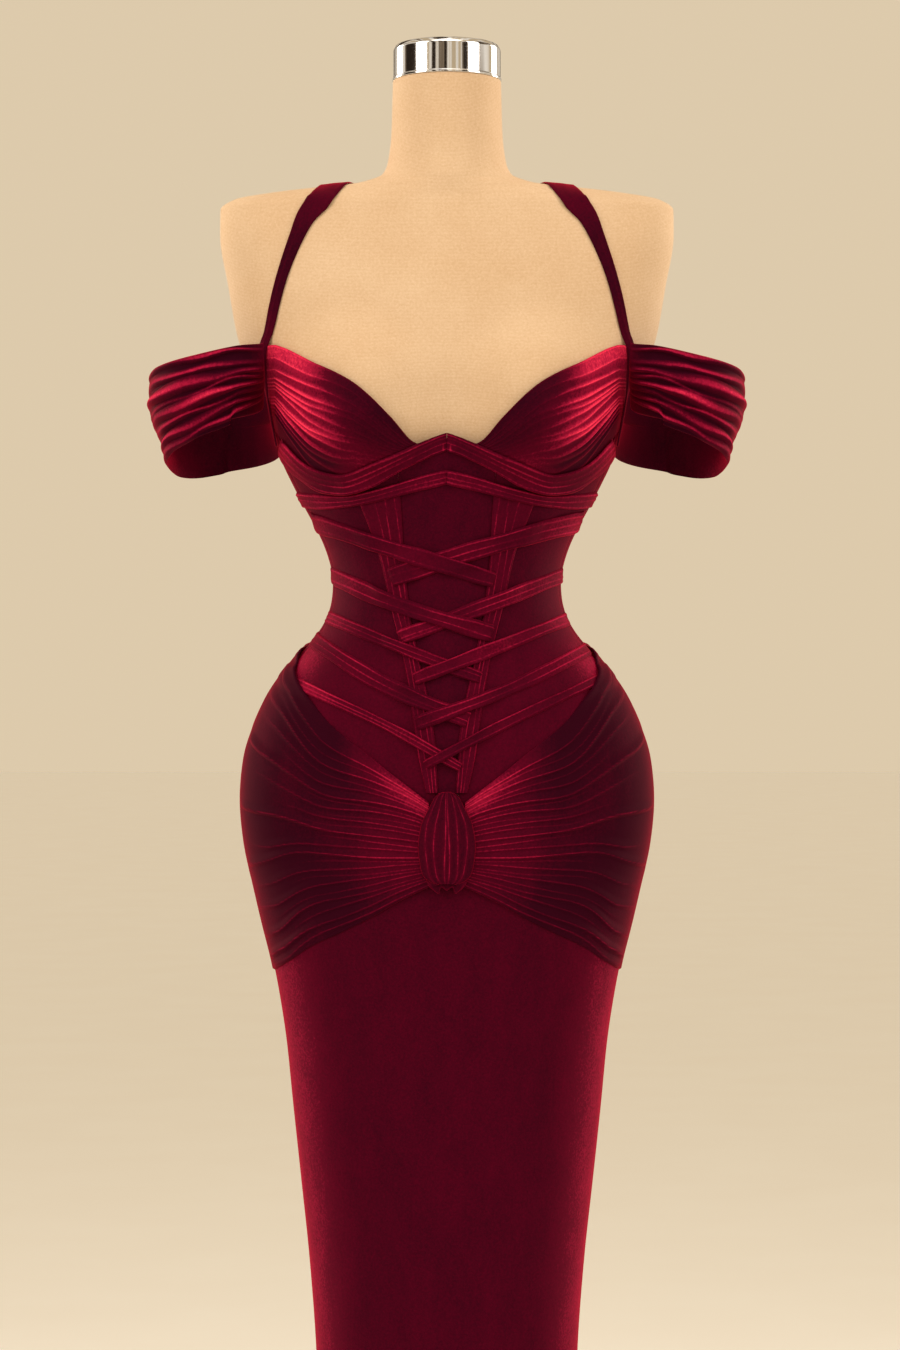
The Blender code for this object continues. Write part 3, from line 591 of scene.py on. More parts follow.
def velvet(name, stops, tint, sheen):
    """Stretch velvet, a knitted ground with a short cut nap of polyester.

    Velvet looks dark seen end on and shines where its nap lies over or curves away; here that look
    is painted into the colour, which follows a share on each piece: the nap's own tone with painted
    light and shade, such as painted highlights on crests and painted shade in valleys. A sheen
    lights the edges. Its smudges are the nap pushed about by hand, 22 mm across and twice as tall.
    The nap itself is finer than the render shows, and its grain is drawn 2.2 mm coarse.
    """
    material, tree, place = started(name)
    # Each piece's layer: the nap's own tone with painted light and shade
    brushed_and_lit = add(tree, "ShaderNodeAttribute", {"attribute_name": "pile_tone_and_light"}).outputs["Fac"]
    tall = scaled(tree, place, (1.0, 1.0, 0.45))
    smudges = noise(tree, tall, 0.022, Detail=5.0, Roughness=0.62, Distortion=0.4)
    grain = noise(tree, place, 0.0022, Detail=3.0, Roughness=0.7)
    patch = mapped(tree, smudges, 0.3, 0.72, -0.035, 0.04)
    fleck = mapped(tree, grain, 0.25, 0.75, -0.5, 0.5)
    moved = worked(tree, "ADD", brushed_and_lit, patch)
    lively = worked(tree, "MULTIPLY_ADD", brushed_and_lit, 0.28, 0.13)
    moved = worked(tree, "ADD", moved, worked(tree, "MULTIPLY", fleck, lively))
    settings = {
        "Roughness": 0.8,
        "Specular IOR Level": 0.04,
        "Sheen Weight": sheen,
        "Sheen Roughness": 0.34,
        "Sheen Tint": (*linear(tint), 1),
    }
    normal = raised(tree, grain, 0.35, 0.25 * MM)
    return ended(material, settings, {"Base Color": ramp(tree, moved, stops), "Normal": normal})


def linen(name, light, dark):
    """Plain-woven linen glued over a hard form: matt, with a fine even weave.

    The cross threads of 0.5 mm are drawn at 1.3 mm, so that a hint of the weave shows.
    """
    material, tree, place = started(name)
    weave = {
        "bands_direction": "Z",
        "Scale": 2 * pi / 20 / 0.0013,
        "Distortion": 1.6,
        "Detail": 2.0,
        "Detail Scale": 3.0,
    }
    threads = add(tree, "ShaderNodeTexWave", weave, {"Vector": place}).outputs["Fac"]
    slubs = noise(tree, place, 0.0022, Detail=4.0, Roughness=0.7)
    blotches = noise(tree, place, 0.07, Detail=3.0)
    height = worked(tree, "MULTIPLY_ADD", threads, 0.30, slubs)
    tone = mapped(tree, worked(tree, "MULTIPLY_ADD", blotches, 0.55, height), 0.60, 1.35)
    colour = ramp(tree, tone, [(0.0, dark), (1.0, light)])
    settings = {"Roughness": 0.9, "Specular IOR Level": 0.15}
    normal = raised(tree, height, 0.3, 0.3 * MM)
    return ended(material, settings, {"Base Color": colour, "Normal": normal})


def plated(name, colour, roughness):
    """Chromium plate on a pressed steel cap: a clear mirror with faint polishing marks."""
    material, tree, place = started(name)
    marks = noise(tree, scaled(tree, place, (1.0, 1.0, 12.0)), 0.006, Detail=4.0)
    rough = mapped(tree, marks, 0.3, 0.7, roughness * 0.7, roughness * 1.5)
    settings = {"Base Color": (*linear(colour), 1), "Metallic": 1.0}
    return ended(material, settings, {"Roughness": rough})


def powder_coated(name, light, dark):
    """Powder-coated steel: satin black with a fine orange-peel skin, drawn at 1.5 mm."""
    material, tree, place = started(name)
    normal = raised(tree, noise(tree, place, 0.0015, Detail=2.0), 0.15, 0.2 * MM)
    wear = noise(tree, place, 0.04, Detail=5.0)
    colour = ramp(tree, wear, [(0.35, dark), (0.7, light)])
    return ended(material, {"Roughness": 0.42}, {"Base Color": colour, "Normal": normal})


def plain_floor(name, colour):
    """A painted studio floor: nearly white and matt, with a faint mottle."""
    material, tree, place = started(name)
    mottle = noise(tree, place, 0.25, Detail=2.0)
    shade = ramp(tree, mottle, [(0.2, colour), (0.8, "#ffffff")])
    return ended(material, {"Roughness": 0.9, "Specular IOR Level": 0.1}, {"Base Color": shade})


def studio_air(world, plain, strength):
    """Plain pale light from all round; only mirrors see soft dark bands in it, as of a room."""
    world.use_nodes = True
    tree = world.node_tree
    output = tree.nodes["World Output"]
    for node in list(tree.nodes):
        if node != output:
            tree.nodes.remove(node)
    settings = {"Color": (*linear(plain), 1), "Strength": strength}
    air = add(tree, "ShaderNodeBackground", settings).outputs[0]
    place = add(tree, "ShaderNodeTexCoord").outputs["Generated"]
    wall = scaled(tree, place, (2.6, 0.6, 0.25))
    settings = {"Scale": 2.2, "Detail": 1.0}
    bands = add(tree, "ShaderNodeTexNoise", settings, {"Vector": wall}).outputs["Fac"]
    stops = [(0.38, "#2b2119"), (0.46, "#8c7860"), (0.52, "#fff4e2"), (0.6, "#c9b28f")]
    shade = ramp(tree, bands, stops)
    room = add(tree, "ShaderNodeBackground", {"Strength": 1.0}, {"Color": shade}).outputs[0]
    mirrored_ray = add(tree, "ShaderNodeLightPath").outputs["Is Glossy Ray"]
    both = add(tree, "ShaderNodeMixShader", None, {0: mirrored_ray, 1: air, 2: room})
    tree.links.new(both.outputs[0], output.inputs["Surface"])


# The form's rows of faces: from which height up, and how many to the next
FORM_ROWS = [(FORM_BOTTOM, 30), (1.23, 45), (1.40, 56), (1.475, 13), (NECK_TOP, 0)]
FORM_COLUMNS = 144
# Up to which height the cover is drawn in under the cloth, and over how much it comes back
UNDER_CLOTH_TO, UNDER_CLOTH_FADE = 1.235, 0.06


def make_form(material):
    """The torso: a sheet wrapped round the skin, closed along its back, bottom and top."""
    parts = [
        np.linspace(low, high, count, endpoint=False)
        for (low, count), (high, _) in zip(FORM_ROWS, FORM_ROWS[1:])
    ]
    heights = np.concatenate([*parts, [NECK_TOP]])
    angles = even_angles(heights, FORM_COLUMNS)
    bm = bmesh.new()
    bmesh.ops.create_grid(bm, x_segments=FORM_COLUMNS, y_segments=len(heights) - 1, size=0.5)
    grid = np.array([v.co for v in bm.verts])
    around = np.round((grid[:, 0] + 0.5) * FORM_COLUMNS).astype(int) % FORM_COLUMNS
    row = np.round((grid[:, 1] + 0.5) * (len(heights) - 1)).astype(int)
    z = heights[row]
    under_cloth = 1 - ease((z - UNDER_CLOTH_TO) / UNDER_CLOTH_FADE)
    places = lifted(at_angle(angles[row, around], z), -FORM_EASE * under_cloth)
    places[:, 2] = z
    for vert, place in zip(bm.verts, places):
        vert.co = place
    bmesh.ops.remove_doubles(bm, verts=bm.verts[:], dist=0.001 * MM)
    rims = [edge for edge in bm.edges if edge.is_boundary]
    bmesh.ops.holes_fill(bm, edges=rims, sides=0)
    return finished("form_torso_cover", bm, material, ["form_torso"])


def rounded(corners, radius, steps=4):
    """A turned profile with its inner corners rounded."""
    points = [Vector((*corner, 0)) for corner in corners]
    result = [corners[0]]
    for before, here, after in zip(points, points[1:], points[2:]):
        reach = min(radius, (before - here).length / 2.1, (after - here).length / 2.1)
        start = here + (before - here).normalized() * reach
        end = here + (after - here).normalized() * reach
        for k in range(steps + 1):
            t = k / steps
            spot = start.lerp(here, t).lerp(here.lerp(end, t), t)
            result.append((spot.x, spot.y))
    return result + [corners[-1]]


def make_stand(chrome, coated):
    """The neck cap, the pole with its flange and collar, and the round base."""
    flange_top = FORM_BOTTOM - SEAM
    low = NECK_TOP + SEAM
    turned(
        "form_neck_cap_plated",
        rounded(
            [
                (0, CAP_TOP + 0.4 * MM), (0.036, CAP_TOP), (0.0470, CAP_TOP - 0.8 * MM),
                (0.0494, CAP_TOP - 5 * MM), (0.0494, low + 3.2 * MM), (0.0500, low + 2.6 * MM),
                (0.0500, low + 0.6 * MM), (0.0490, low), (0, low),
            ],
            1.2 * MM,
        ),
        chrome, ["form_neck_cap"], centre_y=1 * MM,
    )
    turned(
        "stand_pole_coated",
        rounded(
            [
                (0, flange_top), (FLANGE_RADIUS, flange_top),
                (FLANGE_RADIUS, flange_top - FLANGE_HEIGHT), (0.016, flange_top - FLANGE_HEIGHT),
                (POLE_RADIUS, flange_top - 14 * MM), (POLE_RADIUS, COLLAR_TOP + 2 * MM),
                (COLLAR_RADIUS - 5 * MM, COLLAR_TOP), (COLLAR_RADIUS, COLLAR_TOP - 6 * MM),
                (COLLAR_RADIUS, BASE_HEIGHT + SEAM), (0, BASE_HEIGHT + SEAM),
            ],
            1.5 * MM,
        ),
        coated, ["stand_pole"],
    )
    turned(
        "stand_base_coated",
        rounded(
            [
                (0, BASE_HEIGHT), (BASE_RADIUS - 4 * MM, BASE_HEIGHT),
                (BASE_RADIUS, BASE_HEIGHT - 4 * MM), (BASE_RADIUS, 0), (0, 0),
            ],
            1.5 * MM,
        ),
        coated, ["stand_base"], segments=128,
    )


def panel_tone_and_sheen(angle, flat=0.11, side_sheen=0.05):
    """Colour share of the close-fitting panels: an even tone, with painted sheen towards the sides."""
    return flat + side_sheen * ease((np.abs(np.sin(angle)) - 0.6) / 0.4)


def make_skirt(material):
    """Two halves that flare into soft waves at the hem, and are rolled in at their seams."""

    def half(middle):
        def shape(u, v, side):
            z = HEM_HEIGHT + (SKIRT_SEAM - HEM_HEIGHT) * v
            edge = pi / 2 - CLOSE / HIP_RADIUS
            angle = middle + mix(-edge, edge, u)
            flutes = np.sin(7 * angle + 0.6 * np.sin(2 * angle + 1)) * 0.5 + 0.5
            flare = ease((0.30 - z) / 0.30)
            sag = 0.5 + 0.5 * np.sin(3 * angle + z * 16) * np.sin(z * 9 + 2 * angle)
            lift = FORM_GAP + sizes().hem_flutes * flutes * flare + 0.35 * MM * sag
            if side:
                hem = ease((0.026 - (z - HEM_HEIGHT)) / (3 * MM))
                roll = 1 - ease(inwards(v) * (SKIRT_SEAM - HEM_HEIGHT) / (1.2 * MM))
                seam = bump(inwards(u) * SKIRT_WIDTH, 2.2 * MM)
                lift = lift + PANEL_WALL + 0.5 * MM * hem - 0.7 * MM * roll - 0.6 * MM * seam
            # The colour is the panels' tone with painted sheen towards the sides, and painted light
            # and shade on the flutes at the hem
            pile_tone_and_light = panel_tone_and_sheen(angle, 0.14, 0.24) + 0.05 * (flutes - 0.5) * flare
            return lifted(at_angle(angle, z), lift), pile_tone_and_light

        return shape

    front = cloth("skirt_front", half(0.0), material)
    return [front, cloth("skirt_back", half(pi), material)]


def panel_height(v, top):
    """Height of a panel's row, from the skirt's seam to the panel's own top edge."""
    return mix(SKIRT_SEAM + SEAM, top, v)


def strip_seam(z):
    """Distance of the seam under the vertical strip from the centre line."""
    return strip_edge(z, 1) + 2 * MM


def panel_wall(u, side):
    """Lift of a panel's inside or outside, rolled in at the seams beside it."""
    if not side:
        return np.full(u.shape, FORM_GAP)
    near = inwards(u) * PANEL_WIDTH
    return PANEL_TOP - 0.5 * MM * bump(near, 1.6 * MM)


def make_bodice(material):
    """The centre front, and a side front and a back on each side."""

    def centre_front(u, v, side):
        share = 2 * u - 1
        guess = mix(SKIRT_SEAM, BODICE_TOP, v)
        z = panel_height(v, bodice_top(share * strip_seam(guess)) - 1.0 * MM)
        place = on_front(share * (strip_seam(z) - SEAM / 2), z)
        return lifted(place, panel_wall(u, side)), panel_tone_and_sheen(0 * u)

    def side_front(u, v, side):
        inner = strip_seam(mix(SKIRT_SEAM, BODICE_TOP, v)) + SEAM / 2
        z = panel_height(v, bodice_top(mix(inner, CUP_OUTER, u)) - 1.0 * MM * (1 - u))
        inner = strip_seam(z) + SEAM / 2
        angle = mix(angle_of(inner, z), seam_angle(z) - CLOSE / SIDE_RADIUS, u)
        # Painted light: lighter below the waist towards the hip and most on the hip's outer curve,
        # with painted sheen towards the side
        pile_tone_and_light = panel_tone_and_sheen(angle) + 0.07 * ease((1.06 - z) / 0.06)
        hip = 0.22 * ease((u - 0.45) / 0.4) * bump(z - 1.008, 0.05)
        return lifted(at_angle(angle, z), panel_wall(u, side)), pile_tone_and_light + hip

    def back(u, v, side):
        top = mix(BACK_TOP_SIDE, BACK_TOP_CENTRE, ease(u * 1.5))
        z = panel_height(v, top)
        start, end = seam_angle(z) + CLOSE / SIDE_RADIUS, pi - CLOSE / BACK_RADIUS
        angle = mix(start, end, u)
        lift = panel_wall(u, side)
        if side:
            beside = (1 - u) * BACK_WIDTH
            placket = bump(beside - 8 * MM, 1.6 * MM) + bump(beside, 1.5 * MM)
            edge = bump((top - z) - 7 * MM, 1.4 * MM)
            lift = lift - 0.35 * MM * placket - 0.35 * MM * edge
        # The colour is the panels' tone with painted sheen towards the side
        return lifted(at_angle(angle, z), lift), panel_tone_and_sheen(angle, 0.13, 0.10)

    middle = cloth("corset_centre_front", centre_front, material)
    halves = {"corset_side_front": side_front, "corset_back": back}
    return [middle] + both_sides(halves, material)


# Folds of a cup: place up its outer edge, up its middle and up its inner end, height (mm)
CUP_PLEATS = [
    (0.20, 0.05, -0.12, 1.3), (0.25, 0.12, -0.04, 1.5), (0.29, 0.19, 0.04, 1.1),
    (0.33, 0.26, 0.11, 1.8), (0.37, 0.33, 0.18, 1.2), (0.41, 0.39, 0.24, 1.6),
    (0.50, 0.46, 0.31, 1.2), (0.54, 0.53, 0.37, 1.7), (0.58, 0.61, 0.44, 1.1),
    (0.62, 0.69, 0.51, 1.4), (0.72, 0.78, 0.60, 1.0), (0.86, 0.88, 0.72, 0.9),
]
CUP_REACH = 0.166
CUP_CORNER_RISE = 5 * MM


def make_cups(material):
    def cup(u, v, side):
        x = mix(CUP_INNER, CUP_REACH, u)
        bottom, top = cup_edge(x, 2) + 1.5 * MM, cup_edge(x, 1)
        top = top + CUP_CORNER_RISE * ease((x - 0.112) / 0.046)
        bottom = bottom + 4 * MM * ease((x - CUP_OUTER - 1 * MM) / (9 * MM))
        z = mix(bottom, top, v)
        place = at_angle(angle_of(x, z), z)
        tall = np.maximum(top - bottom, 6 * MM)
        # Past its outer edge the cup lies over the side seam, and its end under the strap
        over = ease((x - CUP_OUTER + 7 * MM) / (6 * MM))
        under_strap = ease((x - 0.147) / (9 * MM))
        lift = mix(FORM_GAP, PANEL_TOP + 0.2 * MM, over)
        ridges, crests = [], []
        for k, (outer_end, middle, inner_end, height) in enumerate(CUP_PLEATS):
            line = mix(outer_end, middle, ease((1 - u) / 0.5))
            line = mix(line, inner_end, ease((0.45 - u) / 0.45))
            line = line + 0.014 * np.sin(8 * u + 2.1 * k) * np.sin(pi * u)
            away = (v - line) * tall
            wide = mix(1.9, 4.2, ease((1 - u) / 0.4)) * MM
            wide = np.minimum(wide, tall * 0.065 + 0.5 * MM)
            fall = np.where(away > 0, wide, wide * 0.55)
            strong = 0.35 + 0.65 * ease((u - 0.30) / 0.5) * (0.75 + 0.25 * np.sin(7 * u + k))
            strong = strong + 0.3 * ease((0.3 - u) / 0.3)
            ridges.append(sizes().cup_folds * height * MM * strong * bump(away, fall))
            crests.append(strong * bump(away, np.minimum(0.9 * MM, wide * 0.5)))
        ridges, crests = strongest(ridges, crests)
        hem = bump((1 - v) * tall - 1.3 * MM, 1.3 * MM)
        if side:
            fade = ease(inwards(v) * tall / (2.0 * MM))
            roll = 1 - ease(inwards(v) * tall / (0.9 * MM))
            ridges = ridges * (1 - 0.85 * under_strap)
            lift = PANEL_TOP + over * 0.7 * MM + ridges * fade + 0.5 * MM * hem - 0.8 * MM * roll
        # Painted light and shade: painted light on the outer half over a painted-dark lower edge, a
        # fainter painted-light fan on the inner half, painted shade in the upper inner corner and in
        # the valleys, and painted highlights on the crests and along the top edge
        outer = ease((u - 0.34) / 0.42)
        slope = 0.34 - 0.16 * u
        lit = mix(0.10, 1.0, ease((v - 0.17) / slope))
        fan = bump(v - 0.02 - 0.40 * u, 0.42) * (1 - outer)
        shade = 0.08 + 0.26 * fan + 0.78 * outer * lit
        shade = shade * (1 - 0.65 * ease((v - 0.70) / 0.22) * (1 - ease((u - 0.45) / 0.30)))
        pile_tone_and_light = shade + 0.28 * crests * (0.6 + 0.4 * outer) * mix(0.5, 1.0, lit)
        valley = 1 - np.clip(ridges / (1.0 * MM), 0, 1)
        pile_tone_and_light = pile_tone_and_light - 0.42 * valley * outer * (1 - 0.7 * ease((v - 0.78) / 0.15))
        pile_tone_and_light = pile_tone_and_light + 0.16 * bump((1 - v) * tall - 1.3 * MM, 0.9 * MM)
        return lifted(place, lift), pile_tone_and_light

    return both_sides({"cup": cup}, material)


# Ridges along the vertical strips and along the bands: place across, height share
STRIP_LINES = [(0.10, 0.8), (0.36, 1.0), (0.64, 0.9), (0.92, 0.7)]
BAND_LINES = [
    [(0.14, 0.7), (0.50, 0.8), (0.86, 1.0)],
    [(0.22, 0.6), (0.88, 1.0)],
    [(0.12, 0.5), (0.40, 0.7), (0.84, 1.0)],
    [(0.30, 0.8), (0.82, 1.0)],
]


def round_off(edge, radius):
    """0 at an edge and 1 from the radius inwards, along a quarter of a circle."""
    return np.sqrt(1 - (1 - np.clip(edge / radius, 0, 1)) ** 2)


def strongest(ridges, crests):
    """Height and crest at each place, of the fold that stands highest there."""
    return np.maximum.reduce(ridges), np.maximum.reduce(crests)


def lined(across, width, lines, wander):
    """Height share and crest of the ridges along a strip, and its rounded edges."""
    ridge, crest = [], []
    for k, (place, height) in enumerate(lines):
        away = (across - place - 0.035 * np.sin(wander + 2.3 * k)) * width
        half = width * 0.5 / (len(lines) + 0.4)
        strong = height * (0.75 + 0.25 * np.sin(2.1 * wander + 1.3 * k))
        ridge.append(strong * bump(away, np.where(away < 0, half, 0.7 * half)))
        crest.append(strong * bump(away - 0.2 * MM, 0.8 * MM))
    round_edge = round_off(inwards(across) * width, 1.5 * MM)
    return *strongest(ridge, crest), round_edge


def strip_wall(ridge, round_edge):
    return BAND_WALL * (0.25 + 0.75 * round_edge) + BAND_RIDGE * ridge * round_edge


def make_strips(material):
    def strip(u, v, side):
        z = mix(STRIP[-1][0], STRIP[0][0], v) * MM
        inner, outer = strip_edge(z, 1), strip_edge(z, 2)
        x = mix(inner, outer, u)
        ridge, crest, round_edge = lined(u, outer - inner, STRIP_LINES, 14 * v)
        lift = PANEL_TOP + REST_GAP + (strip_wall(ridge, round_edge) if side else 0)
        # The colour has painted highlights along the ridges' crests
        return lifted(on_front(x, z), lift), 0.20 + 0.34 * crest

    return both_sides({"strip": strip}, material)


def round_side(x, z):
    """The skin's points on the front, for a strip that goes on round the side."""
    share = x / ring(z)[0]
    turn = 0.94
    beyond = np.clip(np.abs(share) - turn, 0, None) / (1 - turn**2) ** 0.5
    angle = np.arcsin(np.clip(share, -turn, turn)) + np.sign(share) * beyond
    square = ring(z)[3]
    plain = angle_of(np.clip(x, -turn * ring(z)[0], turn * ring(z)[0]), z)
    return at_angle(np.where(square < 2.05, angle, plain + np.sign(share) * beyond), z)


def lay_band(node, band, lines, phase, material, sewn="start", bright=0.40, broad=1.0, stitched=False):
    """One band on what is already laid, which then counts as laid too."""

    def shape(u, v, side):
        here, across = band.at(u)
        wide = band.width * broad * (1 + 0.07 * np.sin(9 * u + phase) + 0.04 * np.sin(23 * u))
        if sewn == "end":
            across = mix(np.array([0.0, 1.0]), across, ease(u / 0.14)[:, None])
        spot = here + across * ((v - 0.5) * wide + (broad - 1) * 5 * MM)[:, None]
        ridge, crest, round_edge = lined(v, wide, lines, 5 * u + phase)
        top = cover(spot[:, 0], spot[:, 1])
        lift = top + REST_GAP
        if side:
            lift = lift + strip_wall(ridge, round_edge)
        along = u if sewn == "start" else 1 - u
        # Its sewn end goes down into the seam, and a lacing band's other end is tucked in
        low = FORM_GAP + (0.8 * MM if side else 0)
        lift = mix(low, lift, ease(along / 0.055))
        if sewn == "start":
            tuck = mix(top - 1.6 * MM, lift, ease((1 - along) / 0.022))
            lift = np.where(along > 0.9, tuck, lift)
        # Colour: each band's own tone, painted highlights on the crests and painted sheen towards its
        # sewn end at the side; at the very end it takes the panels' tone
        shade = 0.21 + 0.05 * np.sin(2.4 * phase) + 0.05 * np.sin(11 * u + phase)
        pile_tone_and_light = shade + bright * crest + 0.14 * ease(1 - along / 0.4)
        pile_tone_and_light = mix(0.15, pile_tone_and_light, ease(along / 0.09))
        if stitched:
            drawn = bump(np.abs(spot[:, 0]) - 3.0 * MM, 1.3 * MM)
            pile_tone_and_light = pile_tone_and_light + 0.30 * drawn * bump(v - 0.22, 0.35)
        return lifted(round_side(spot[:, 0], spot[:, 1]), lift), pile_tone_and_light

    piece = cloth(node, shape, material)
    laid.append((band.away, BAND_STEP, STEP_EASE))
    return piece


def half_route(route, sign):
    """A route for one half, from beside the centre line outwards."""
    return [(sign * max(0.12, x), z) for x, z in route]


def make_bands(material):
    made = []
    for word, sign in SIDES:
        route = half_route(UNDERBUST_BAND + [(144, 1165)], sign)
        band = Band(route, UNDERBUST_BAND_WIDTH)
        lines = [(0.15, 0.6), (0.5, 0.7), (0.88, 1.0)]
        made.append(lay_band(f"underbust_band_{word}", band, lines, 1.0, material, "end"))
    for k, (name, sign, x0, z0, x1, z1, x2, z2, width) in enumerate(BANDS):
        rise = (z0 - z1) / (x0 - x1)
        start = (sign * (x0 + 12), z0 + 9 * rise)
        band = Band([start, (sign * x1, z1), (sign * x2, z2)], width * MM)
        made.append(lay_band(name, band, BAND_LINES[k % 4], 1.7 * k, material))
    for word, sign in SIDES:
        band = Band(half_route(WRAP + [(156, 1211)], sign), WRAP_WIDTH)
        lines = [(0.14, 0.8), (0.42, 0.9), (0.68, 0.7), (0.92, 1.0)]
        node = f"underbust_wrap_{word}"
        made.append(lay_band(node, band, lines, 4.0, material, "end", 0.42, 1.4, True))
    return made


# Folds of the hip drape in front: place from its top edge (0) to its bottom edge (1) beside the
# knot, at 37, 64 and 88 degrees round the body, height (mm), and where it fades out (degrees)
FRONT_FOLDS = [
    (0.03, 0.10, 0.045, 0.05, 1.4, 95), (0.06, 0.145, 0.08, 0.09, 0.9, 70),
    (0.09, 0.185, 0.12, 0.13, 1.6, 95), (0.13, 0.235, 0.17, 0.18, 0.9, 80),
    (0.165, 0.275, 0.215, 0.22, 1.1, 60), (0.21, 0.325, 0.28, 0.27, 2.6, 95),
    (0.25, 0.355, 0.31, 0.31, 0.9, 52), (0.29, 0.385, 0.35, 0.35, 1.3, 74),
    (0.335, 0.415, 0.39, 0.40, 0.8, 48), (0.38, 0.44, 0.42, 0.43, 1.2, 58),
    (0.43, 0.465, 0.45, 0.46, 1.0, 50), (0.49, 0.495, 0.475, 0.48, 2.5, 95),
    (0.55, 0.53, 0.54, 0.54, 0.9, 46), (0.60, 0.565, 0.60, 0.60, 1.5, 78),
    (0.655, 0.612, 0.645, 0.665, 2.4, 95), (0.69, 0.648, 0.68, 0.69, 0.9, 55),
    (0.725, 0.682, 0.73, 0.74, 1.2, 84), (0.76, 0.72, 0.765, 0.775, 0.8, 60),
    (0.79, 0.755, 0.80, 0.81, 1.4, 95), (0.825, 0.795, 0.85, 0.855, 1.0, 72),
    (0.86, 0.835, 0.885, 0.89, 1.6, 95), (0.895, 0.875, 0.915, 0.92, 1.0, 66),
    (0.93, 0.925, 0.955, 0.955, 2.6, 95), (0.975, 0.97, 0.985, 0.985, 1.4, 95),
]


def front_folds(v, degrees, tall):
    """Height and crest of the front drape's folds: flat, then up to a crest that hangs over."""
    height, crest = [], []
    for i, (*places, rise, fade) in enumerate(FRONT_FOLDS):
        route = [(angle, place) for angle, place in zip((8, 37, 64, 88), places)]
        line = through(route, 1, degrees) + 0.005 * np.sin(degrees / 9 + 2.2 * i)
        away = (v - line) * tall
        wide = np.minimum(tall * 0.055, 8.5 * MM)
        half = np.where(away < 0, wide, np.minimum(wide * 0.5, 2.6 * MM))
        ends = ease((fade - degrees) / 26) * mix(0.62, 1.0, ease((degrees - 6) / 20))
        strong = ends * (0.82 + 0.18 * np.sin(degrees / 14 + 2.7 * i)) * sizes().drape_folds
        height.append(rise * MM * strong * bump(away, half))
        thin = np.minimum(0.9 * MM, tall * 0.010)
        crest.append(strong * min(1, 0.45 + rise / 3.5) * bump(away + thin / 2, thin))
    return strongest(height, crest)


def back_folds(v, degrees):
    """Height and crest of the back drape's broad, even folds."""
    height, crest = [], []
    for i, (ridge, rise) in enumerate(BACK_DRAPE_FOLDS):
        away = v - ridge - 0.02 * np.sin(degrees / 25 + 1.9 * i)
        height.append(rise * MM * bump(away, np.where(away < 0, 0.12, 0.05)))
        crest.append(rise / 3 * bump(away, 0.012))
    return strongest(height, crest)


def drape_shape(start, end):
    """A hip drape's shape between two angles: the front one is pleated, the back one plainer."""

    def shape(u, v, side):
        degrees = mix(start, end, u)
        top, bottom = through(DRAPE_EDGES, 1, degrees), through(DRAPE_EDGES, 2, degrees)
        bottom = bottom - DRAPE_SIDE_DROP * ease((degrees - 40) / 38)
        z = mix(top, bottom, v) * MM
        tall = (top - bottom) * MM
        base = at_angle(np.radians(degrees), z)
        over = np.where(degrees < 90, cover(base[:, 0], z), PANEL_TOP)
        over = mix(PANEL_TOP, over, ease((87 - degrees) / 6))
        lift = over + REST_GAP + DRAPE_BUNCH * (1 - ease((degrees - 5) / 25))
        full = bump(degrees - DRAPE_SIDE, 60) * bump(v - 0.45, 0.45)
        lift = lift + DRAPE_FULLNESS * full
        if start < 45:
            height, crest = front_folds(v, degrees, tall)
        else:
            height, crest = back_folds(v, degrees)
        at_seam = ease(np.abs(degrees - DRAPE_SIDE) / 9)
        height, crest = height * at_seam + 0.5 * MM * (1 - at_seam), crest * at_seam
        if side:
            round_edge = round_off(inwards(v) * tall, 1.8 * MM)
            lift = lift + BAND_WALL * (0.25 + 0.75 * round_edge) + height * round_edge
        # Painted light beside the knot, most near its top edge, and painted highlights along the
        # crests, over a tone that wavers a little
        knot = 1 - ease((degrees - 8) / 30)
        warm = 0.04 * np.sin(9 * v + degrees / 11)
        near = 0.26 * knot * (1 - 0.5 * ease((v - 0.5) / 0.3)) + 0.17 * knot * bump(v - 0.08, 0.16)
        pile_tone_and_light = warm + near + (0.40 + 0.12 * knot) * crest
        return lifted(base, lift), pile_tone_and_light

    return shape


def make_drapes(material):
    front = drape_shape(DRAPE_EDGES[0][0], DRAPE_SIDE - DRAPE_CLOSE)
    back = drape_shape(DRAPE_SIDE + DRAPE_CLOSE, 180 - DRAPE_CLOSE)
    return both_sides({"hip_drape": front, "hip_drape_back": back}, material)


# Lines up the knot: place across, strength; and how far its two small tucks reach below it
KNOT_LINES = [(-0.74, 0.7), (-0.42, 0.8), (-0.07, 1.0), (0.07, 1.0), (0.40, 0.8), (0.68, 0.9)]
KNOT_TUCK = 0.09


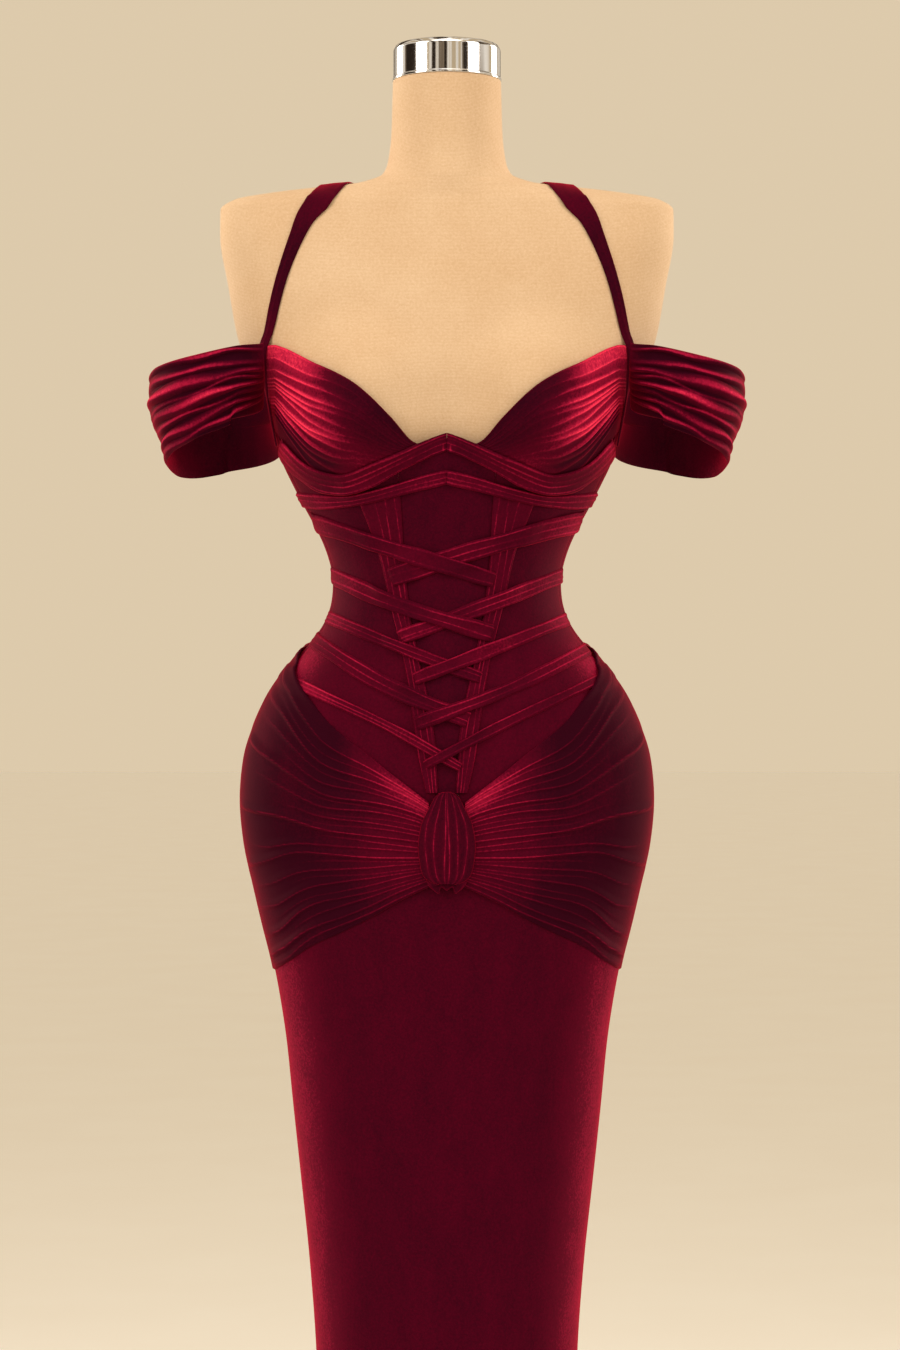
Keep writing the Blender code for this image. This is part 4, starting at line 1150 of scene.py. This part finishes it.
def make_knot(material):
    def knot(u, v, side):
        share = 2 * u - 1
        z = mix(KNOT[0][0], KNOT[-1][0], v) * MM
        tuck = 1 - ease((v - KNOT_TUCK + 0.01) / 0.02)
        ends = np.minimum((v - KNOT_TUCK) / 0.10, (1 - v) / 0.07)
        slim = mix(mix(0.35, 1.0, round_off(ends, 1)), 0.95, tuck)
        between = 1 - bump(np.abs(share) - 0.68, 0.42) - 0.5 * bump(share, 0.34)
        z = z + 6 * MM * tuck * between
        x = share * through(KNOT, 1, z / MM) * MM * slim
        crown = np.sqrt(np.clip(1 - share * share, 0, 1)) * np.sin(pi * mix(0.12, 0.88, v))
        lift = KNOT_SEAT + KNOT_DOME * crown * (1 - tuck)
        ridge, crest = [], []
        for k, (place, strong) in enumerate(KNOT_LINES):
            away = share - place - 0.03 * np.sin(6 * v + 2 * k)
            strong = strong * ease((v - KNOT_TUCK) / 0.08) * (0.75 + 0.25 * np.sin(23 * v + 3 * k))
            ridge.append(bump(away, 0.13) * (1 - tuck))
            crest.append(strong * bump(away, 0.032))
        ridge, crest = strongest(ridge, crest)
        # Painted highlights also run round the loop's edges at its tucks
        loops = bump(np.abs(share) - 0.92, 0.14) + bump(v - 0.005, 0.02)
        crest = np.maximum(crest, 0.6 * tuck * np.minimum(1, loops))
        if side:
            edge = np.minimum((1 - np.abs(share)) / 0.10, inwards(v) / 0.03)
            round_edge = round_off(edge, 1)
            lift = lift + 1.8 * MM * (0.2 + 0.8 * round_edge) + 0.9 * MM * ridge * round_edge
        # Colour: painted highlights on the crests, strongest on the crown, and painted shade between
        # the ridges
        pile_tone_and_light = 0.20 + 0.40 * crest * mix(0.6, 1, crown) - 0.10 * (1 - ridge)
        return lifted(on_front(x, z), lift), pile_tone_and_light

    return cloth("knot_loop", knot, material)


def shoulder_point(x, y):
    """The skin's point straight above a place on the shoulder."""
    low, high = 1.38, 1.46
    for _ in range(40):
        middle = (low + high) / 2
        if outside(x, y, middle) < 1:
            low = middle
        else:
            high = middle
    return Vector((x, y, low))


def make_straps(material):
    spots = []
    for z, x, width in STRAP_FRONT:
        spots.append((*on_front(np.array([x * MM]), np.array([z * MM]))[0], width * MM))
    for y, x, width in STRAP_TOP:
        spots.append((*shoulder_point(x * MM, y * MM), width * MM))
    for z, x, width in STRAP_BACK + [(1243, 93.5, 12)]:
        angle = pi - angle_of(np.array([x * MM]), np.array([z * MM]))
        spots.append((*at_angle(angle, np.array([z * MM]))[0], width * MM))
    rows = [(i, *spot) for i, spot in enumerate(spots)]
    last = len(rows) - 1

    def middle(place):
        return np.stack([through(rows, column, place) for column in (1, 2, 3)], axis=-1)

    def strap(u, v, side):
        place = u * last
        here = middle(place)
        run = middle(np.minimum(last, place + 0.2)) - middle(np.maximum(0, place - 0.2))
        out = lifted(here, 1.0) - here
        across = unit(np.cross(unit(run), out))
        wide = through(rows, 4, place)
        spot = here + across * ((v - 0.5) * wide)[:, None]
        on_cup = (1 - ease((here[:, 2] - 1.297) / (14 * MM))) * (here[:, 1] < 0)
        lift = mix(0.9 * MM, PANEL_TOP + 1.9 * MM, on_cup)
        ridge, crest, round_edge = lined(v, wide, [(0.5, 1.0)], 6 * u)
        if side:
            lift = lift + 1.3 * MM * (0.25 + 0.75 * round_edge) + 0.3 * MM * ridge * round_edge
        # Colour: a painted highlight along the middle crest, over a tone that wavers
        return lifted(spot, lift), 0.10 + 0.10 * crest + 0.06 * np.sin(17 * u)

    return both_sides({"strap": strap}, material)


# Folds of a sleeve: place up its outermost part, halfway there and at its front end, height (mm)
# and width share
SLEEVE_PLEATS = [
    (0.03, 0.10, 0.20, 4.4, 0.9), (0.14, 0.24, 0.29, 5.2, 1.0), (0.29, 0.33, 0.38, 3.0, 0.6),
    (0.40, 0.46, 0.45, 5.8, 1.1), (0.49, 0.57, 0.53, 2.6, 0.5), (0.63, 0.63, 0.62, 5.6, 1.2),
    (0.80, 0.76, 0.70, 3.0, 0.9), (0.955, 0.93, 0.90, 3.6, 0.8),
]


def make_sleeves(material):
    def middle(u, z):
        """Points of the band's middle, with its two ends on the bodice."""
        x, y = (through(SLEEVE, column, u) * MM for column in (1, 2))
        angle = angle_of(SLEEVE_END_X + 0 * z, z)
        ahead = lifted(at_angle(angle, z), SLEEVE_FRONT_LIFT)
        behind = lifted(at_angle(pi - angle, z), SLEEVE_BACK_LIFT)
        end = np.where((u > 0.5)[:, None], behind, ahead)
        hug = 1 - ease(inwards(u) / SLEEVE_HUG)
        return np.stack([mix(x, end[:, 0], hug), mix(y, end[:, 1], hug), z], axis=-1)

    def sleeve(u, v, side):
        top, bottom = through(SLEEVE, 3, u) * MM, through(SLEEVE, 4, u) * MM
        top = top - SLEEVE_BACK_DROP * ease((u - 0.84) / 0.16)
        bottom = bottom + SLEEVE_BACK_RISE * ease((u - 0.62) / 0.30)
        z = mix(bottom, top, v)
        run = middle(np.minimum(1, u + 0.04), z) - middle(np.maximum(0, u - 0.04), z)
        out = unit(np.stack([run[:, 1], -run[:, 0], 0 * u], axis=-1))
        ruched = (1 - ease((u - 0.44) / 0.14)) * ease((u - 0.02) / 0.1)
        height, crest = [], []
        for k, (place, halfway, gather, rise, share) in enumerate(SLEEVE_PLEATS):
            line = mix(gather, halfway, ease(u / 0.16))
            line = mix(line, place, ease((u - 0.12) / 0.26)) + 0.012 * np.sin(29 * u + 2.2 * k)
            half = share * mix(0.045, 0.098, ease(u / 0.34)) * (1 + 0.25 * np.sin(17 * u + 3 * k))
            half = np.where(v > line, half, half * 0.55)
            strong = 0.78 + 0.22 * np.sin(12 * u + 1.7 * k)
            height.append(rise * MM * strong * np.sqrt(bump(v - line, half)))
            crest.append(strong * bump(v - line - 0.02, half * 0.78))
        height, crest = strongest(height, crest)
        height = height * ruched * sizes().sleeve_folds
        plain = 0.8 * MM * np.sin(5 * v + 8 * u) * (1 - ruched) * ease((1 - u) / 0.1)
        belly = mix(-SLEEVE_DRAWN_IN, 0.5, ease(v / 0.65)) * MM
        # How far out the wall lies from the band's middle
        push = belly * ease(inwards(u) / SLEEVE_HUG) + plain
        if side:
            round_edge = round_off(inwards(v) * (top - bottom), 2 * MM)
            push = push + SLEEVE_WALL * (0.3 + 0.7 * round_edge) + height * round_edge
        # Painted light and shade: painted highlights along the crests in front and along the top edge,
        # painted shade in the valleys; the inside is painted light in front, most low down, and
        # painted shade behind
        lit = 0.55 + 0.45 * ease(u / 0.25)
        pile_tone_and_light = 0.23 + (0.48 * crest * lit - 0.26 * (1 - height / (5 * MM))) * ruched
        pile_tone_and_light = pile_tone_and_light + 0.16 * bump(v - 1, 0.02)
        if not side:
            pile_tone_and_light = 0.06 + 0.34 * (1 - ease((u - 0.56) / 0.30)) * mix(0.6, 1.0, ease((0.5 - v) / 0.4))
        return middle(u, z) + out * push[:, None], pile_tone_and_light

    return both_sides({"sleeve": sleeve}, material)


def length_property(name, text, value, **limits):
    return bpy.props.FloatProperty(
        name=name, description=text, default=value, unit="LENGTH", **limits
    )


def fold_property(name, text):
    return bpy.props.FloatProperty(
        name=name, description=f"Height of {text}, as a share of the photo's",
        default=1, min=0, max=1.5, subtype="FACTOR",
    )


class DressSizes(bpy.types.PropertyGroup):
    camera_distance: length_property(
        "Camera distance", "From the camera to the dress form's middle", 2.93, min=1
    )
    camera_height: length_property(
        "Camera height", "Height of the camera over the floor", 1.0018, min=0
    )
    view_angle: bpy.props.FloatProperty(
        name="View angle", description="How much the camera sees from top to bottom",
        default=radians(23.93), subtype="ANGLE",
    )
    hem_flutes: length_property(
        "Hem flutes", "How deep the skirt's soft waves are at the hem", 5 * MM, min=0, max=8 * MM
    )
    cup_folds: fold_property("Cup folds", "the cups' gathers")
    sleeve_folds: fold_property("Sleeve folds", "the sleeves' folds")
    drape_folds: fold_property("Drape folds", "the hip drapes' folds in front")
    floor_side: length_property("Floor side", "Side of the square floor", 60)


def colour_property(name, text, value):
    return bpy.props.StringProperty(name=name, description=text, default=value)


class DressColours(bpy.types.PropertyGroup):
    # The velvet's ramp runs from dark, also used for painted shade, to bright, used only for painted
    # highlights
    pile_dark_and_shade: colour_property("Dark pile", "Velvet seen into the pile", "#2c0013")
    pile_deep: colour_property("Deep pile", "Velvet on the flat", "#54001d")
    pile_red: colour_property("Red pile", "Velvet brushed up", "#a4143c")
    pile_highlight: colour_property("Bright pile", "Velvet on a crest in the light", "#ff3a60")
    sheen: colour_property("Sheen", "Tint of the velvet's shining edges", "#ff1040")
    linen_light: colour_property("Light linen", "Threads of the form's cover", "#dec5a9")
    linen_dark: colour_property("Dark linen", "Gaps of the form's cover", "#c7a785")
    chrome: colour_property("Chrome", "Plate of the neck cap", "#e4e4e6")
    steel_light: colour_property("Light steel", "Coating of the stand", "#2a2a2c")
    steel_dark: colour_property("Dark steel", "Coating of the stand in its hollows", "#151517")
    floor: colour_property("Floor", "Pale studio floor", "#fdfcfb")
    air: colour_property("Room", "Pale light from all round", "#ead6b6")


def colours():
    return bpy.context.scene.dress_colours


def sizes():
    return bpy.context.scene.dress_sizes


VELVET_SHEEN = 0.55
CHROME_ROUGHNESS = 0.07


def velvet_material():
    """The dress's velvet, made once."""
    made = bpy.data.materials.get("stretch_velvet")
    if made:
        return made
    c = colours()
    stops = [(0.0, c.pile_dark_and_shade), (0.30, c.pile_deep), (0.62, c.pile_red), (1.0, c.pile_highlight)]
    return velvet("stretch_velvet", stops, c.sheen, VELVET_SHEEN)


class DRESS_OT_form(bpy.types.Operator):
    """Covers the torso with linen, and plates the neck cap and coats the stand"""

    bl_idname = "dress.form"
    bl_label = "Form and stand"

    def execute(self, context):
        c = colours()
        make_form(linen("glued_linen", c.linen_light, c.linen_dark))
        chrome = plated("chromium_plate", c.chrome, CHROME_ROUGHNESS)
        make_stand(chrome, powder_coated("powder_coated_steel", c.steel_light, c.steel_dark))
        return {"FINISHED"}


class DRESS_OT_skirt(bpy.types.Operator):
    """Hangs the long skirt, front and back"""

    bl_idname = "dress.skirt"
    bl_label = "Skirt"

    def execute(self, context):
        return sheets(make_skirt(velvet_material()))


class DRESS_OT_bodice(bpy.types.Operator):
    """Fits the bodice's panels to the form"""

    bl_idname = "dress.bodice"
    bl_label = "Bodice"

    def execute(self, context):
        return sheets(make_bodice(velvet_material()))


class DRESS_OT_cups(bpy.types.Operator):
    """Gathers the two cups over the bust"""

    bl_idname = "dress.cups"
    bl_label = "Cups"

    def execute(self, context):
        return sheets(make_cups(velvet_material()))


class DRESS_OT_strips(bpy.types.Operator):
    """Lays the two pleated strips down the front"""

    bl_idname = "dress.strips"
    bl_label = "Strips"

    def execute(self, context):
        return sheets(make_strips(velvet_material()))


class DRESS_OT_bands(bpy.types.Operator):
    """Laces the bands over the bodice in the order that they cross, and the wraps under the bust"""

    bl_idname = "dress.bands"
    bl_label = "Lacing bands"

    def execute(self, context):
        return sheets(make_bands(velvet_material()))


class DRESS_OT_drapes(bpy.types.Operator):
    """Gathers the hip drapes towards the knot"""

    bl_idname = "dress.drapes"
    bl_label = "Hip drapes"

    def execute(self, context):
        return sheets(make_drapes(velvet_material()))


class DRESS_OT_knot(bpy.types.Operator):
    """Puts the pleated loop over the middle of the drapes"""

    bl_idname = "dress.knot"
    bl_label = "Knot loop"

    def execute(self, context):
        return sheets([make_knot(velvet_material())])


class DRESS_OT_straps(bpy.types.Operator):
    """Lays the shoulder straps"""

    bl_idname = "dress.straps"
    bl_label = "Shoulder straps"

    def execute(self, context):
        return sheets(make_straps(velvet_material()))


class DRESS_OT_sleeves(bpy.types.Operator):
    """Puts on the ruched off-shoulder sleeve bands"""

    bl_idname = "dress.sleeves"
    bl_label = "Sleeve bands"

    def execute(self, context):
        return sheets(make_sleeves(velvet_material()))


# Name, place, what it aims at, width and height, power in watts and colour
LAMPS = [
    ("key_left", (-2.6, -1.7, 2.5), (0, 0, 1.05), (1.4, 2.2), 10.5, "#fff4e6"),
    ("key_right", (2.6, -1.5, 2.4), (0, 0, 1.05), (1.4, 2.2), 8.5, "#fff4e6"),
    ("top_soft", (0, -1.4, 3.4), (0, 0, 1.2), (2.2, 1.4), 4.5, "#fff6ea"),
    ("edge_left", (-2.2, 1.4, 1.5), (0, 0, 0.9), (0.8, 2.4), 10, "#fff6ea"),
    ("edge_right", (2.2, 1.4, 1.5), (0, 0, 0.9), (0.8, 2.4), 10, "#fff6ea"),
]
LAMP_SPREAD = radians(80)
AIR_STRENGTH = 0.88
CAMERA_SIDEWAYS = 2.8 * MM


def lamp(name, place, aim, size, watts, colour):
    data = bpy.data.lights.new(name, "AREA")
    data.shape = "RECTANGLE"
    data.size, data.size_y = size
    data.energy = watts
    data.color = linear(colour)
    data.spread = LAMP_SPREAD
    light = bpy.data.objects.new(name, data)
    light.location = place
    light.rotation_euler = (Vector(aim) - Vector(place)).to_track_quat("-Z", "Y").to_euler()
    bpy.context.scene.collection.objects.link(light)


class DRESS_OT_studio(bpy.types.Operator):
    """Adds the pale floor, the soft lights and the camera"""

    bl_idname = "dress.studio"
    bl_label = "Studio"

    def execute(self, context):
        scene = context.scene
        s, c = sizes(), colours()
        bm = bmesh.new()
        bmesh.ops.create_grid(bm, x_segments=1, y_segments=1, size=s.floor_side / 2)
        mesh = bpy.data.meshes.new("floor")
        bm.to_mesh(mesh)
        bm.free()
        mesh.materials.append(plain_floor("painted_floor", c.floor))
        floor = bpy.data.objects.new("floor", mesh)
        scene.collection.objects.link(floor)

        scene.view_settings.view_transform = "Standard"
        world = bpy.data.worlds.new("studio_air")
        studio_air(world, c.air, AIR_STRENGTH)
        scene.world = world

        for row in LAMPS:
            lamp(*row)

        data = bpy.data.cameras.new("camera")
        data.sensor_fit = "VERTICAL"
        data.sensor_height = 36
        data.angle_y = s.view_angle
        camera = bpy.data.objects.new("camera", data)
        camera.location = (CAMERA_SIDEWAYS, -s.camera_distance, s.camera_height)
        camera.rotation_euler = (pi / 2, 0, 0)
        scene.collection.objects.link(camera)
        scene.camera = camera
        return {"FINISHED"}


STEPS = (
    DRESS_OT_form, DRESS_OT_skirt, DRESS_OT_bodice, DRESS_OT_cups, DRESS_OT_strips,
    DRESS_OT_bands, DRESS_OT_drapes, DRESS_OT_knot, DRESS_OT_straps, DRESS_OT_sleeves,
    DRESS_OT_studio,
)


class DRESS_PT_panel(bpy.types.Panel):
    """The dress's pieces, sizes and colours"""

    bl_idname = "DRESS_PT_panel"
    bl_label = "Velvet evening dress"
    bl_space_type = "VIEW_3D"
    bl_region_type = "UI"
    bl_category = "Dress"

    def draw(self, context):
        layout = self.layout
        for step in STEPS:
            layout.operator(step.bl_idname)
        for group in (context.scene.dress_sizes, context.scene.dress_colours):
            box = layout.box()
            for name in group.__annotations__:
                box.prop(group, name)


CLASSES = (DressSizes, DressColours, *STEPS, DRESS_PT_panel)


def register():
    for made in CLASSES:
        bpy.utils.register_class(made)
    bpy.types.Scene.dress_sizes = bpy.props.PointerProperty(type=DressSizes)
    bpy.types.Scene.dress_colours = bpy.props.PointerProperty(type=DressColours)


def unregister():
    del bpy.types.Scene.dress_colours
    del bpy.types.Scene.dress_sizes
    for made in reversed(CLASSES):
        bpy.utils.unregister_class(made)


def main():
    register()
    for step in STEPS:
        getattr(bpy.ops.dress, step.bl_idname.removeprefix("dress."))()


if __name__ == "__main__":
    main()
